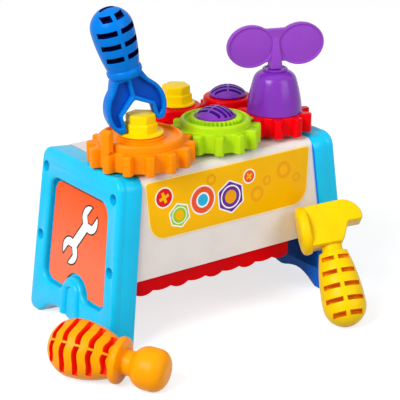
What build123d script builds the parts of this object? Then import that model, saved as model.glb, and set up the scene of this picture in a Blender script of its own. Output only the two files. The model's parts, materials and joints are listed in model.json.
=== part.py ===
# Toy workbench: two splayed end frames carry a box housing, and a ring of five gears turns on its deck.
# Two bolts, two dome screws and a winged key work the gears. A wrench, a hammer and a screwdriver go with it.
# Millimetres. +Z is up, X runs along the bench, the front long side faces -Y, and the floor is Z = 0.
import os
from math import acos, asin, atan, atan2, ceil, cos, degrees, hypot, pi, radians, sin, sqrt, tan

from build123d import *

os.makedirs("parts", exist_ok=True)

# Bench overall
BENCH_HEIGHT = 180.0
TOP_LENGTH = 269.0
FOOT_LENGTH = 309.0
TOP_DEPTH = 145.2
FOOT_DEPTH = 160.0

# End frames, measured up the sloping outer face and inwards from it
FRAME_THICKNESS = 27.7
FRAME_WALL = 3.0
FRAME_BORDER = 20.0
FRAME_TOP_RADIUS = 14.0
FOOT_CORNER_RADIUS = 9.0
ARCH_WIDTH = 124.0
ARCH_HEIGHT = 16.8
ARCH_CREST = 27.0
ARCH_KNEE = 47.0
ARCH_KNEE_HEIGHT = 10.6
ARCH_DIP = 14.0
RECESS_BOTTOM = 38.0
RECESS_TOP_BORDER = 29.1
RECESS_DEPTH = 8.5
RECESS_DRAFT = 20.0
RECESS_RADIUS = 14.0
CAVITY_BOTTOM = 27.0
CAVITY_RADIUS = 8.0
PANEL_THICKNESS = 2.5
PANEL_CLEARANCE = 0.2
COVER_THICKNESS = 2.5
COVER_CLEARANCE = 0.15

# Spout at the foot of each end frame
SPOUT_WIDTH = 28.0
SPOUT_BOTTOM = 11.0
SPOUT_TOP = 53.0
SPOUT_RELIEF = 3.0
SPOUT_LIP = 5.5
SPOUT_HOLLOW = 5.0
SPOUT_MARGIN = 5.0

# Frame screws
UPPER_SCREW_DROP = 21.1
SCREW_SPACING = 75.0
SCREW_EDGE = 10.0
COUNTERBORE_RADIUS = 6.0
COUNTERBORE_DEPTH = 10.0
SCREW_BOSS_RADIUS = 6.5
SCREW_HEAD_RADIUS = 5.0
SCREW_HEAD_HEIGHT = 3.0
SCREW_SHANK_RADIUS = 2.0
SCREW_HOLE_CLEARANCE = 0.2
SCREW_BITE = 2.0

# Housing and base board
DECK_DROP = 3.0
HOUSING_SCREW_MARGIN = 13.9
HOUSING_WALL = 3.0
WALL_SETBACK = 3.0
DECK_EDGE_RADIUS = 8.0
BOARD_LIP = 3.0
BOARD_DROP = 14.0
BOARD_WALL = 3.0
BOARD_CLEARANCE = 0.2
BOARD_RIGHT_END = 76.0
BOARD_SETBACK = 1.5
SCALLOP_PITCH = 24.0
SCALLOP_SAG = 3.4
SMALL_SCALLOP_SAG = 1.8

# Front label
LABEL_TOP_DROP = 5.5
LABEL_HEIGHT = 63.0
LABEL_TOP_LENGTH = 209.0
LABEL_BOTTOM_LENGTH = 199.0
LABEL_RADIUS = 20.0
LABEL_TOP_RADIUS = 4.0
LABEL_THICKNESS = 0.8

# Gear train
MODULE = 7.2
ORANGE_TEETH = 14
GREEN_TEETH = 12
RED_TEETH = 10
BACK_TEETH = 9
PRESSURE_ANGLE = radians(20)
ADDENDUM = 4.0
DEDENDUM = 5.2
BACKLASH = 1.2
TIP_ROUND = 2.6
ROOT_ROUND = 2.4
TOOTH_HEIGHT = 20.0
GEAR_WEB = 4.0
GEAR_RIM = 4.0
GREEN_X = 10.3
GREEN_Y = -31.0
ORANGE_BEARING = 181.2
RED_BEARING = 1.7
BACK_BEARING = 87.4
ORANGE_TOOTH_BEARING = -113.0

# Gear discs
ORANGE_DISC_RADIUS = 43.0
GREEN_DISC_RADIUS = 36.7
BACK_DISC_RADIUS = 27.0
HIGH_DISC_TOP = 28.0
LOW_DISC_TOP = 23.0
DISC_RIM = 4.5
DISC_RECESS = 3.5
DISC_EDGE_RADIUS = 3.0
BOLT_SEAT_MARGIN = 1.5
TAB_TEETH_ROUND = 2
TAB_WIDTH = 10.0
TAB_HEIGHT = 44.0
TAB_ROUND = 4.5
TAB_CLEARANCE = 0.5
TAB_FOOT_WIDTH = 5.0

# Posts that carry the gears
POST_PEG_RADIUS = 8.0
POST_PEG_LENGTH = 5.0
POST_PEG_CLEARANCE = 0.1
POST_FLANGE_RADIUS = 17.0
GEAR_LIFT = 4.0
AXIAL_PLAY = 0.3
JOURNAL_RADIUS = 12.0
RUNNING_CLEARANCE = 0.06
SHANK_RADIUS = 7.0
SHANK_LENGTH = 20.0
HUB_WALL = 5.0

# Bolts
BOLT_FLANGE_RADIUS = 23.0
BOLT_FLANGE_HEIGHT = 3.0
BOLT_FLATS = 30.2
BOLT_HEX_HEIGHT = 9.0
BOLT_TOP_FLATS = 26.6
BOLT_TOP_HEIGHT = 9.0
BOLT_EDGE_RADIUS = 1.2

# Dome screws
DOME_RADIUS = 20.5
DOME_RIM_HEIGHT = 2.5
DOME_RISE = 9.0
DOME_RIM_WIDTH = 2.5
DOME_RIB_WIDTH = 3.0
DOME_SLOT_WIDTH = 3.2
DOME_SLOT_PITCH = 6.0
DOME_SLOT_ROWS = 5
DOME_SLOT_DEPTH = 3.0
GREEN_DOME_BEARING = 20.0
BACK_DOME_BEARING = 54.3

# Winged key
KEY_RIM_RADIUS = 29.4
KEY_SHOULDER_RADIUS = 23.0
KEY_SHOULDER_HEIGHT = 35.0
KEY_BULGE = 1.0
KEY_NECK_RADIUS = 13.5
KEY_BELL_HEIGHT = 44.0
KEY_RING_HEIGHT = 3.0
KEY_WALL = 2.5
KEY_BASE_THICKNESS = 3.0
KEY_BASE_CLEARANCE = 0.6
KEY_DRIVE_FLATS = 19.4
KEY_DRIVE_LENGTH = 6.0
KEY_DRIVE_CLEARANCE = 0.3
WING_LOBE_LENGTH = 52.0
WING_LOBE_HEIGHT = 45.0
WING_LOBE_OFFSET = 27.2
WING_HEIGHT = 71.5
WING_THICKNESS = 6.0
WING_RIM = 2.5
WING_SUNK = 1.2
WING_BRIDGE_HEIGHT = 35.0
WING_SADDLE_RADIUS = 8.0
WING_BEARING = -19.0
STEM_FOOT_WIDTH = 13.0
STEM_HEAD_WIDTH = 5.0
STEM_TOP = 84.0

# Grips shared by the tools: an egg with rows of slots either side of a spine
GRIP_SPINE_WIDTH = 3.6
GRIP_WEB = 6.0
GRIP_SLOT_SPREAD = 0.86
GRIP_FIRST_ROW = 0.3
TOOL_CLEARANCE = 0.3

# Wrench
WRENCH_LEAN = 15.5
WRENCH_BEARING = -12.0
WRENCH_THICKNESS = 15.0
JAW_RADIUS = 31.5
JAW_CENTRE = 20.0
JAW_THROAT = 29.0
JAW_SHOULDER = 17.0
JAW_TIP_ROUND = 3.5
JAW_RIM = 4.5
JAW_SUNK = 5.5
JAW_RIB = 5.0
WRENCH_CHEEK_WIDTH = 47.0
WRENCH_NECK_WIDTH = 31.0
WRENCH_NECK_TOP = 55.5
WRENCH_COLLAR_RADIUS = 17.9
WRENCH_COLLAR_HEIGHT = 8.0
WRENCH_GRIP_LENGTH = 62.5
WRENCH_GRIP_RADIUS = 21.5
WRENCH_GRIP_NECK_RADIUS = 16.4
WRENCH_SLOT_PITCH = 13.4
WRENCH_SLOT_HEIGHT = 5.4
WRENCH_SLOT_ROWS = 5
WRENCH_LIFT = 2.0

# Hammer
HAMMER_BEARING = -35.7
HAMMER_TILT = 11.0
HAMMER_LEAN = 34.0
HAMMER_FOOT_X = 82.0
HAMMER_GRIP_LENGTH = 79.0
HAMMER_GRIP_RADIUS = 22.8
HAMMER_GRIP_TOP_RADIUS = 15.0
HAMMER_SLOT_PITCH = 14.0
HAMMER_SLOT_HEIGHT = 5.2
HAMMER_SLOT_ROWS = 6
HAMMER_NECK_RADIUS = 10.8
HAMMER_NECK_LENGTH = 8.0
HAMMER_FACE_RADIUS = 25.5
HAMMER_FACE_DROP = 2.0
HAMMER_FACE_WIDTH = 11.0
HAMMER_FACE_ROUND = 4.5
HAMMER_FACE_REACH = 31.0
HEAD_TOP = 23.4
HEAD_BOTTOM = -20.5
HEAD_THICKNESS = 32.0
HEAD_EDGE_RADIUS = 2.0
CLAW_TIP_ROUND = 2.4
CHEEK_FOOT = 11.5
CHEEK_TOP = 20.5
CHEEK_BULGE = 1.0
CLAW_START = 15.0
CLAW_REACH = 37.0
CLAW_UNDERSIDE = -1.0
CLAW_TIP_THICKNESS = 5.5
CLAW_TIP_RAKE = 1.0
CLAW_RISE = 15.0
CLAW_RISE_REACH = 30.0

# Screwdriver
DRIVER_BEARING = -58.3
DRIVER_GRIP_X = -200.3
DRIVER_GRIP_Y = -93.7
DRIVER_GRIP_LENGTH = 71.0
DRIVER_GRIP_RADIUS = 29.0
DRIVER_GRIP_NECK_RADIUS = 18.6
DRIVER_SLOT_PITCH = 13.4
DRIVER_SLOT_HEIGHT = 5.6
DRIVER_SLOT_ROWS = 5
DRIVER_ROLL = 35.0
DRIVER_COLLAR_RADIUS = 23.5
DRIVER_COLLAR_WIDTH = 8.0
DRIVER_NECK_RADIUS = 12.5
DRIVER_NECK_LENGTH = 8.4
DRIVER_BALL_RADIUS = 21.2
DRIVER_BALL_LENGTH = 37.5
DRIVER_BALL_SHOULDER = 17.0
DRIVER_BALL_CORNER = 13.0


def save(shape, node):
    export_step(shape, f"parts/{node}.step")


def polar(radius, angle):
    return (radius * cos(angle), radius * sin(angle))


def at(centre, z):
    return Pos(centre[0], centre[1], z)


def hexagon(flats, rotation=0):
    return RegularPolygon(flats / 2, 6, major_radius=False, rotation=rotation)


def rounded_trapezoid(low, high, half_low, half_high, low_radius, high_radius):
    corners = ((-half_low, low), (half_low, low), (half_high, high), (-half_high, high))
    face = make_face(Polyline(*corners, close=True))
    face = fillet(face.vertices().sort_by(Axis.Y)[:2], low_radius)
    return fillet(face.vertices().sort_by(Axis.Y)[-2:], high_radius)


# End frames

END_LEAN = atan((FOOT_LENGTH - TOP_LENGTH) / 2 / BENCH_HEIGHT)
FRAME_SLOPE = BENCH_HEIGHT / cos(END_LEAN)
END_FACE = Plane((-FOOT_LENGTH / 2, 0, 0), x_dir=(0, -1, 0), z_dir=(-cos(END_LEAN), 0, sin(END_LEAN)))
SPOUT_CENTRE = (SPOUT_BOTTOM + SPOUT_TOP) / 2
SPOUT_LENGTH = SPOUT_TOP - SPOUT_BOTTOM
UPPER_SCREW = FRAME_SLOPE - UPPER_SCREW_DROP
LOWER_SCREW = UPPER_SCREW - SCREW_SPACING


def frame_half_depth(slope):
    return (FOOT_DEPTH + (TOP_DEPTH - FOOT_DEPTH) * slope / FRAME_SLOPE) / 2


def frame_trapezoid(low, high, inset, low_radius, high_radius):
    half_low = frame_half_depth(low) - inset
    half_high = frame_half_depth(high) - inset
    return rounded_trapezoid(low, high, half_low, half_high, low_radius, high_radius)


def spout_outline(margin):
    slot = SlotOverall(SPOUT_LENGTH + 2 * margin, SPOUT_WIDTH + 2 * margin, rotation=90)
    return Pos(0, SPOUT_CENTRE) * slot


def screw_places():
    places = []
    for slope in (LOWER_SCREW, UPPER_SCREW):
        for side in (-1, 1):
            places.append((side * (frame_half_depth(slope) - SCREW_EDGE), slope))
    return places


def end_cylinder(place, radius, start, end):
    return END_FACE.offset(-end) * Pos(*place) * extrude(Circle(radius), end - start)


def recess_outline():
    top = FRAME_SLOPE - RECESS_TOP_BORDER
    outline = frame_trapezoid(RECESS_BOTTOM, top, FRAME_BORDER, RECESS_RADIUS, RECESS_RADIUS)
    return outline - spout_outline(SPOUT_MARGIN)


def cavity_outline():
    inset = 2 * FRAME_WALL
    return frame_trapezoid(CAVITY_BOTTOM, FRAME_SLOPE - inset, inset, CAVITY_RADIUS, CAVITY_RADIUS)


def arch_outline():
    # flowing curve from foot to foot, with a dip under the spout
    half = [(ARCH_WIDTH / 2, 0), (ARCH_KNEE, ARCH_KNEE_HEIGHT), (ARCH_CREST, ARCH_HEIGHT)]
    left = [(-x, y) for x, y in half]
    curve = Spline(*left, (0, ARCH_DIP), *reversed(half))
    edges = [curve, Line((ARCH_WIDTH / 2, 0), (ARCH_WIDTH / 2, -ARCH_HEIGHT))]
    edges.append(Line((ARCH_WIDTH / 2, -ARCH_HEIGHT), (-ARCH_WIDTH / 2, -ARCH_HEIGHT)))
    edges.append(Line((-ARCH_WIDTH / 2, -ARCH_HEIGHT), (-ARCH_WIDTH / 2, 0)))
    return make_face(edges)


def left_end_frame():
    outline = frame_trapezoid(0, FRAME_SLOPE, 0, FOOT_CORNER_RADIUS, FRAME_TOP_RADIUS)
    outline = outline - arch_outline() + spout_outline(0)
    frame = extrude(END_FACE * outline, -FRAME_THICKNESS)
    frame += extrude(END_FACE * spout_outline(0), SPOUT_RELIEF)
    hollow = END_FACE.offset(SPOUT_RELIEF) * spout_outline(-SPOUT_LIP)
    frame -= extrude(hollow, -SPOUT_HOLLOW)
    frame -= extrude(END_FACE * recess_outline(), -RECESS_DEPTH, taper=RECESS_DRAFT)
    cavity_depth = RECESS_DEPTH + FRAME_WALL
    cavity = END_FACE.offset(-FRAME_THICKNESS) * cavity_outline()
    frame -= extrude(cavity, FRAME_THICKNESS - cavity_depth)
    boss_end = FRAME_THICKNESS - COVER_THICKNESS
    hole_radius = SCREW_SHANK_RADIUS + SCREW_HOLE_CLEARANCE
    for place in screw_places():
        frame += end_cylinder(place, SCREW_BOSS_RADIUS, COUNTERBORE_DEPTH, boss_end)
        frame -= end_cylinder(place, COUNTERBORE_RADIUS, 0, COUNTERBORE_DEPTH)
        frame -= end_cylinder(place, hole_radius, COUNTERBORE_DEPTH, FRAME_THICKNESS)
    return split(frame, Plane.XY, keep=Keep.TOP)


def left_inner_cover():
    plate = offset(cavity_outline(), -COVER_CLEARANCE)
    cover = extrude(END_FACE.offset(-FRAME_THICKNESS) * plate, COVER_THICKNESS)
    for place in screw_places():
        hole_radius = SCREW_SHANK_RADIUS + SCREW_HOLE_CLEARANCE
        cover -= end_cylinder(place, hole_radius, 0, FRAME_THICKNESS)
    return cover


def left_end_panel():
    shrink = RECESS_DEPTH * tan(radians(RECESS_DRAFT)) + PANEL_CLEARANCE
    plate = offset(recess_outline(), -shrink)
    return extrude(END_FACE.offset(-RECESS_DEPTH) * plate, PANEL_THICKNESS)


def left_frame_screws():
    screws = []
    tip = FRAME_THICKNESS + HOUSING_WALL + SCREW_BITE
    for place in screw_places():
        head_top = COUNTERBORE_DEPTH - SCREW_HEAD_HEIGHT
        screw = end_cylinder(place, SCREW_HEAD_RADIUS, head_top, COUNTERBORE_DEPTH)
        screw += end_cylinder(place, SCREW_SHANK_RADIUS, COUNTERBORE_DEPTH, tip)
        screws.append(screw)
    return screws


# Housing, base board and label

DECK_TOP = BENCH_HEIGHT - DECK_DROP
HOUSING_BOTTOM = LOWER_SCREW * cos(END_LEAN) - HOUSING_SCREW_MARGIN


def inner_half_length(z):
    return FOOT_LENGTH / 2 - z * tan(END_LEAN) - FRAME_THICKNESS / cos(END_LEAN)


def wall_half_depth(z):
    return (FOOT_DEPTH + (TOP_DEPTH - FOOT_DEPTH) * z / BENCH_HEIGHT) / 2 - WALL_SETBACK


def housing_block(low, high, inset, edge_radius):
    sections = []
    for z in (low, high):
        rectangle = Rectangle(2 * (inner_half_length(z) - inset), 2 * (wall_half_depth(z) - inset))
        sections.append(Plane.XY.offset(z) * rectangle)
    block = loft(sections)
    return fillet(block.edges().group_by(Axis.Z)[-1].filter_by(Axis.X), edge_radius)


def housing(post_places):
    shell = housing_block(HOUSING_BOTTOM, DECK_TOP, 0, DECK_EDGE_RADIUS)
    inner_radius = DECK_EDGE_RADIUS - HOUSING_WALL
    shell -= housing_block(HOUSING_BOTTOM, DECK_TOP - HOUSING_WALL, HOUSING_WALL, inner_radius)
    hole_radius = POST_PEG_RADIUS + POST_PEG_CLEARANCE
    for place in post_places:
        shell -= at(place, DECK_TOP - HOUSING_WALL) * extrude(Circle(hole_radius), HOUSING_WALL)
    for place in screw_places():
        hole = end_cylinder(place, SCREW_SHANK_RADIUS + SCREW_HOLE_CLEARANCE, 0, 2 * FRAME_THICKNESS)
        shell -= hole
        shell -= mirror(hole, Plane.YZ)
    return shell


def board_left_end():
    return -inner_half_length(HOUSING_BOTTOM)


def base_board():
    left = board_left_end()
    count = ceil((BOARD_RIGHT_END - left) / SCALLOP_PITCH)
    pitch = (BOARD_RIGHT_END - left) / count
    low = HOUSING_BOTTOM - BOARD_DROP
    edges = [Line((left, HOUSING_BOTTOM), (left, low))]
    for i in range(count):
        start = left + i * pitch
        sag = SMALL_SCALLOP_SAG if i % 2 else SCALLOP_SAG
        edges.append(ThreePointArc((start, low), (start + pitch / 2, low - sag), (start + pitch, low)))
    edges.append(Line((BOARD_RIGHT_END, low), (BOARD_RIGHT_END, HOUSING_BOTTOM)))
    edges.append(Line((BOARD_RIGHT_END, HOUSING_BOTTOM), (left, HOUSING_BOTTOM)))
    half_depth = wall_half_depth(HOUSING_BOTTOM) - BOARD_SETBACK
    board = extrude(Plane.XZ * make_face(edges), half_depth, both=True)
    lip_inset = HOUSING_WALL + BOARD_CLEARANCE
    lip_z = HOUSING_BOTTOM + BOARD_LIP
    lip_length = 2 * (inner_half_length(lip_z) - lip_inset)
    lip_depth = 2 * (wall_half_depth(lip_z) - lip_inset)
    board += Pos(0, 0, HOUSING_BOTTOM) * extrude(Rectangle(lip_length, lip_depth), BOARD_LIP)
    middle = (left + BOARD_RIGHT_END) / 2
    pocket_length = BOARD_RIGHT_END - left - 2 * lip_inset - 2 * BOARD_WALL
    pocket = Rectangle(pocket_length, lip_depth - 2 * BOARD_WALL)
    board -= Pos(middle, 0, low + BOARD_WALL) * extrude(pocket, BOARD_DROP + BOARD_LIP)
    return board


WALL_LEAN = atan((wall_half_depth(HOUSING_BOTTOM) - wall_half_depth(DECK_TOP)) / (DECK_TOP - HOUSING_BOTTOM))
FRONT_WALL = Plane((0, -wall_half_depth(0), 0), x_dir=(1, 0, 0), z_dir=(0, -cos(WALL_LEAN), sin(WALL_LEAN)))


def front_label():
    high = (DECK_TOP - LABEL_TOP_DROP) / cos(WALL_LEAN)
    low = high - LABEL_HEIGHT / cos(WALL_LEAN)
    half_low = LABEL_BOTTOM_LENGTH / 2
    half_high = LABEL_TOP_LENGTH / 2
    outline = rounded_trapezoid(low, high, half_low, half_high, LABEL_RADIUS, LABEL_TOP_RADIUS)
    return extrude(FRONT_WALL * outline, LABEL_THICKNESS)


# Gear train
# The green, red and two back gears close a ring of four, so the ring's angle is set by its teeth.

GEAR_FLOOR = DECK_TOP + GEAR_LIFT


def pitch_radius(teeth):
    return MODULE * teeth / 2


def step(start, bearing, distance):
    return (start[0] + distance * cos(bearing), start[1] + distance * sin(bearing))


def bearing_of(start, end):
    return atan2(end[1] - start[1], end[0] - start[0])


def meshed_tooth(teeth, tooth, place, other_teeth, other_place):
    # bearing of one tooth of the other gear, when a tooth of the first lies at the given bearing
    phase = teeth * (bearing_of(place, other_place) - tooth) / (2 * pi)
    return bearing_of(other_place, place) - (0.5 - phase) * 2 * pi / other_teeth


GREEN = (GREEN_X, GREEN_Y)
ORANGE = step(GREEN, radians(ORANGE_BEARING), pitch_radius(ORANGE_TEETH + GREEN_TEETH))
RED = step(GREEN, radians(RED_BEARING), pitch_radius(RED_TEETH + GREEN_TEETH))
ORANGE_TOOTH = radians(ORANGE_TOOTH_BEARING)
GREEN_TOOTH = meshed_tooth(ORANGE_TEETH, ORANGE_TOOTH, ORANGE, GREEN_TEETH, GREEN)
RED_TOOTH = meshed_tooth(GREEN_TEETH, GREEN_TOOTH, GREEN, RED_TEETH, RED)


def back_ring(bearing):
    # places of the back gears when the first lies at this bearing from the green gear
    left = step(GREEN, bearing, pitch_radius(GREEN_TEETH + BACK_TEETH))
    across = hypot(RED[0] - left[0], RED[1] - left[1])
    side = pitch_radius(2 * BACK_TEETH)
    far = pitch_radius(RED_TEETH + BACK_TEETH)
    turn = acos((side**2 + across**2 - far**2) / (2 * side * across))
    right = step(left, bearing_of(left, RED) + turn, side)
    left_tooth = meshed_tooth(GREEN_TEETH, GREEN_TOOTH, GREEN, BACK_TEETH, left)
    right_tooth = meshed_tooth(BACK_TEETH, left_tooth, left, BACK_TEETH, right)
    right_phase = BACK_TEETH * (bearing_of(right, RED) - right_tooth) / (2 * pi)
    red_phase = RED_TEETH * (bearing_of(RED, right) - RED_TOOTH) / (2 * pi)
    return left, right, left_tooth, right_tooth, right_phase + red_phase


def closing_bearing(bearing):
    # nearest bearing at which the last pair of the ring meshes too
    target = round(back_ring(bearing)[4] - 0.5) + 0.5
    small = radians(0.01)
    for _ in range(20):
        miss = back_ring(bearing)[4] - target
        slope = (back_ring(bearing + small)[4] - back_ring(bearing - small)[4]) / (2 * small)
        bearing -= miss / slope
    return bearing


BACK_LEFT, BACK_RIGHT, BACK_LEFT_TOOTH, BACK_RIGHT_TOOTH, _ = back_ring(closing_bearing(radians(BACK_BEARING)))


def eased_corner(before, corner, after):
    # arc that rounds off a nearly square corner
    ease = 1 - sqrt(0.5)
    middle = []
    for i in (0, 1):
        middle.append(corner[i] + ease * (before[i] + after[i] - 2 * corner[i]))
    return ThreePointArc(before, tuple(middle), after)


def tooth_profile(teeth, tooth_bearing):
    pitch = pitch_radius(teeth)
    base = pitch * cos(PRESSURE_ANGLE)
    tip = pitch + ADDENDUM
    root = pitch - DEDENDUM
    half_tooth = (pi * MODULE / 2 - BACKLASH) / (2 * pitch)

    def half_angle(radius):
        roll = acos(min(1.0, base / radius))
        return half_tooth + tan(PRESSURE_ANGLE) - PRESSURE_ANGLE - tan(roll) + roll

    low = root + ROOT_ROUND
    high = tip - TIP_ROUND
    edges = []
    for i in range(teeth):
        middle = tooth_bearing + 2 * pi * i / teeth
        following = middle + 2 * pi / teeth
        for side in (-1, 1):
            foot = polar(low, middle + side * half_angle(low))
            waist = polar((low + high) / 2, middle + side * half_angle((low + high) / 2))
            shoulder = polar(high, middle + side * half_angle(high))
            edges.append(ThreePointArc(foot, waist, shoulder))
            tip_angle = half_angle(tip) - TIP_ROUND / tip
            crest = polar(tip, middle + side * tip_angle)
            edges.append(eased_corner(shoulder, polar(tip, middle + side * half_angle(tip)), crest))
            root_angle = half_angle(root) + ROOT_ROUND / root
            gullet = polar(root, middle + side * root_angle)
            edges.append(eased_corner(foot, polar(root, middle + side * half_angle(root)), gullet))
        edges.append(ThreePointArc(polar(tip, middle - tip_angle), polar(tip, middle), crest))
        next_gullet = polar(root, following - root_angle)
        edges.append(ThreePointArc(gullet, polar(root, (middle + following) / 2), next_gullet))
    return make_face(edges)


def ring(outer, inner, height):
    return extrude(Circle(outer) - Circle(inner), height)


def gear_blank(teeth, tooth_bearing, disc_radius, disc_top):
    body = extrude(tooth_profile(teeth, tooth_bearing), TOOTH_HEIGHT)
    disc = extrude(Circle(disc_radius), disc_top)
    disc = fillet(disc.edges().group_by(Axis.Z)[-1], DISC_EDGE_RADIUS)
    body += disc
    hub_radius = JOURNAL_RADIUS + RUNNING_CLEARANCE + HUB_WALL
    pocket_radius = pitch_radius(teeth) - DEDENDUM - GEAR_RIM
    body -= ring(pocket_radius, hub_radius, TOOTH_HEIGHT - GEAR_WEB)
    return body


def journal_bore(height):
    return extrude(Circle(JOURNAL_RADIUS + RUNNING_CLEARANCE), height)


def disc_recess(disc_radius, disc_top, seat_radius):
    annulus = ring(disc_radius - DISC_RIM, seat_radius, DISC_RECESS)
    return Pos(0, 0, disc_top - DISC_RECESS) * annulus


def finger_tab():
    # stands on one tooth, and passes over the teeth of the gear beside it
    inner = pitch_radius(ORANGE_TEETH) - DEDENDUM
    outer = pitch_radius(ORANGE_TEETH) + ADDENDUM
    middle = (inner + outer) / 2
    low = TOOTH_HEIGHT + TAB_CLEARANCE
    tab = Pos(middle, 0, (low + TAB_HEIGHT) / 2) * Box(outer - inner, TAB_WIDTH, TAB_HEIGHT - low)
    tab = fillet(tab.edges().group_by(Axis.Z)[-1], TAB_ROUND)
    tab += Pos(middle, 0, low / 2) * Box(outer - inner - 2 * TIP_ROUND, TAB_FOOT_WIDTH, low)
    bearing = ORANGE_TOOTH - TAB_TEETH_ROUND * 2 * pi / ORANGE_TEETH
    return Rot(0, 0, degrees(bearing)) * tab


def orange_gear():
    gear = gear_blank(ORANGE_TEETH, ORANGE_TOOTH, ORANGE_DISC_RADIUS, HIGH_DISC_TOP)
    gear -= disc_recess(ORANGE_DISC_RADIUS, HIGH_DISC_TOP, BOLT_FLANGE_RADIUS + BOLT_SEAT_MARGIN)
    gear += finger_tab()
    return at(ORANGE, GEAR_FLOOR) * (gear - journal_bore(HIGH_DISC_TOP))


def green_gear():
    gear = gear_blank(GREEN_TEETH, GREEN_TOOTH, GREEN_DISC_RADIUS, HIGH_DISC_TOP)
    gear -= disc_recess(GREEN_DISC_RADIUS, HIGH_DISC_TOP, DOME_RADIUS + BOLT_SEAT_MARGIN)
    return at(GREEN, GEAR_FLOOR) * (gear - journal_bore(HIGH_DISC_TOP))


def red_gear():
    gear = gear_blank(RED_TEETH, RED_TOOTH, KEY_RIM_RADIUS, TOOTH_HEIGHT)
    socket_depth = KEY_DRIVE_LENGTH + 2 * KEY_DRIVE_CLEARANCE
    gear -= journal_bore(TOOTH_HEIGHT - socket_depth)
    socket = hexagon(KEY_DRIVE_FLATS + 2 * KEY_DRIVE_CLEARANCE)
    gear -= Pos(0, 0, TOOTH_HEIGHT - socket_depth) * extrude(socket, socket_depth)
    return at(RED, GEAR_FLOOR) * gear


def back_gear(place, tooth_bearing):
    gear = gear_blank(BACK_TEETH, tooth_bearing, BACK_DISC_RADIUS, LOW_DISC_TOP)
    return at(place, GEAR_FLOOR) * (gear - journal_bore(LOW_DISC_TOP))


def post(place, hub_top, bored):
    # peg through the deck, flange on it, and a journal that the gear turns on
    flange_height = GEAR_LIFT - AXIAL_PLAY
    journal_top = GEAR_LIFT + hub_top - AXIAL_PLAY
    shape = Pos(0, 0, -POST_PEG_LENGTH) * extrude(Circle(POST_PEG_RADIUS), POST_PEG_LENGTH)
    shape += extrude(Circle(POST_FLANGE_RADIUS), flange_height)
    shape += extrude(Circle(JOURNAL_RADIUS), journal_top)
    if bored:
        bore_depth = SHANK_LENGTH + AXIAL_PLAY
        bore = extrude(Circle(SHANK_RADIUS + RUNNING_CLEARANCE), bore_depth)
        shape -= Pos(0, 0, journal_top - bore_depth) * bore
    return at(place, DECK_TOP) * shape


# Bolts, dome screws and key

HALF_HEX_TURN = 30.0
BOLT_TURN = WRENCH_BEARING + HALF_HEX_TURN


def shank():
    return Pos(0, 0, -SHANK_LENGTH) * extrude(Circle(SHANK_RADIUS), SHANK_LENGTH)


def bolt(place, hub_top):
    shape = extrude(Circle(BOLT_FLANGE_RADIUS), BOLT_FLANGE_HEIGHT)
    shape = fillet(shape.edges().group_by(Axis.Z)[-1], BOLT_EDGE_RADIUS)
    lower = extrude(hexagon(BOLT_FLATS, BOLT_TURN), BOLT_FLANGE_HEIGHT + BOLT_HEX_HEIGHT)
    shape += fillet(lower.edges().group_by(Axis.Z)[-1], BOLT_EDGE_RADIUS)
    head_height = BOLT_FLANGE_HEIGHT + BOLT_HEX_HEIGHT + BOLT_TOP_HEIGHT
    upper = extrude(hexagon(BOLT_TOP_FLATS, BOLT_TURN), head_height)
    shape += fillet(upper.edges().group_by(Axis.Z)[-1], BOLT_EDGE_RADIUS)
    shape += shank()
    return at(place, GEAR_FLOOR + hub_top + AXIAL_PLAY) * shape


def dome_screw(place, hub_top, bearing):
    cap_radius = (DOME_RADIUS**2 + DOME_RISE**2) / (2 * DOME_RISE)
    cap_top = DOME_RIM_HEIGHT + DOME_RISE
    outline = [Line((0, 0), (DOME_RADIUS, 0)), Line((DOME_RADIUS, 0), (DOME_RADIUS, DOME_RIM_HEIGHT))]
    middle = DOME_RADIUS / 2
    middle_z = cap_top - cap_radius + sqrt(cap_radius**2 - middle**2)
    outline.append(ThreePointArc((DOME_RADIUS, DOME_RIM_HEIGHT), (middle, middle_z), (0, cap_top)))
    outline.append(Line((0, cap_top), (0, 0)))
    dome = revolve(Plane.XZ * make_face(outline), Axis.Z)
    reach = DOME_RADIUS - DOME_RIM_WIDTH
    for row in range(DOME_SLOT_ROWS):
        along = (row - (DOME_SLOT_ROWS - 1) / 2) * DOME_SLOT_PITCH
        edge = abs(along) + DOME_SLOT_WIDTH / 2
        length = sqrt(reach**2 - edge**2) - DOME_RIB_WIDTH / 2
        floor = cap_top - cap_radius + sqrt(cap_radius**2 - edge**2) - DOME_SLOT_DEPTH
        for side in (-1, 1):
            slot = Box(DOME_SLOT_WIDTH, length, cap_top)
            dome -= Pos(along, side * (DOME_RIB_WIDTH + length) / 2, floor + cap_top / 2) * slot
    shape = Rot(0, 0, bearing) * dome + shank()
    return at(place, GEAR_FLOOR + hub_top + AXIAL_PLAY) * shape


KEY_SEAT = GEAR_FLOOR + TOOTH_HEIGHT + AXIAL_PLAY


def bell_outline(shrink):
    rim = KEY_RIM_RADIUS - shrink
    shoulder = KEY_SHOULDER_RADIUS - shrink
    top = KEY_BELL_HEIGHT - shrink
    neck = KEY_NECK_RADIUS - shrink
    middle = (rim + shoulder) / 2 + KEY_BULGE
    edges = [Line((0, 0), (rim, 0))]
    edges.append(ThreePointArc((rim, 0), (middle, KEY_SHOULDER_HEIGHT / 2), (shoulder, KEY_SHOULDER_HEIGHT)))
    edges.append(TangentArc((shoulder, KEY_SHOULDER_HEIGHT), (neck, top), tangent=edges[-1] % 1))
    edges.append(Line((neck, top), (0, top)))
    edges.append(Line((0, top), (0, 0)))
    return make_face(edges)


def key_bell():
    bell = revolve(Plane.XZ * bell_outline(0), Axis.Z)
    bell += Pos(0, 0, KEY_BELL_HEIGHT) * extrude(Circle(KEY_NECK_RADIUS), KEY_RING_HEIGHT)
    bell -= revolve(Plane.XZ * bell_outline(KEY_WALL), Axis.Z)
    return at(RED, KEY_SEAT) * bell


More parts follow.
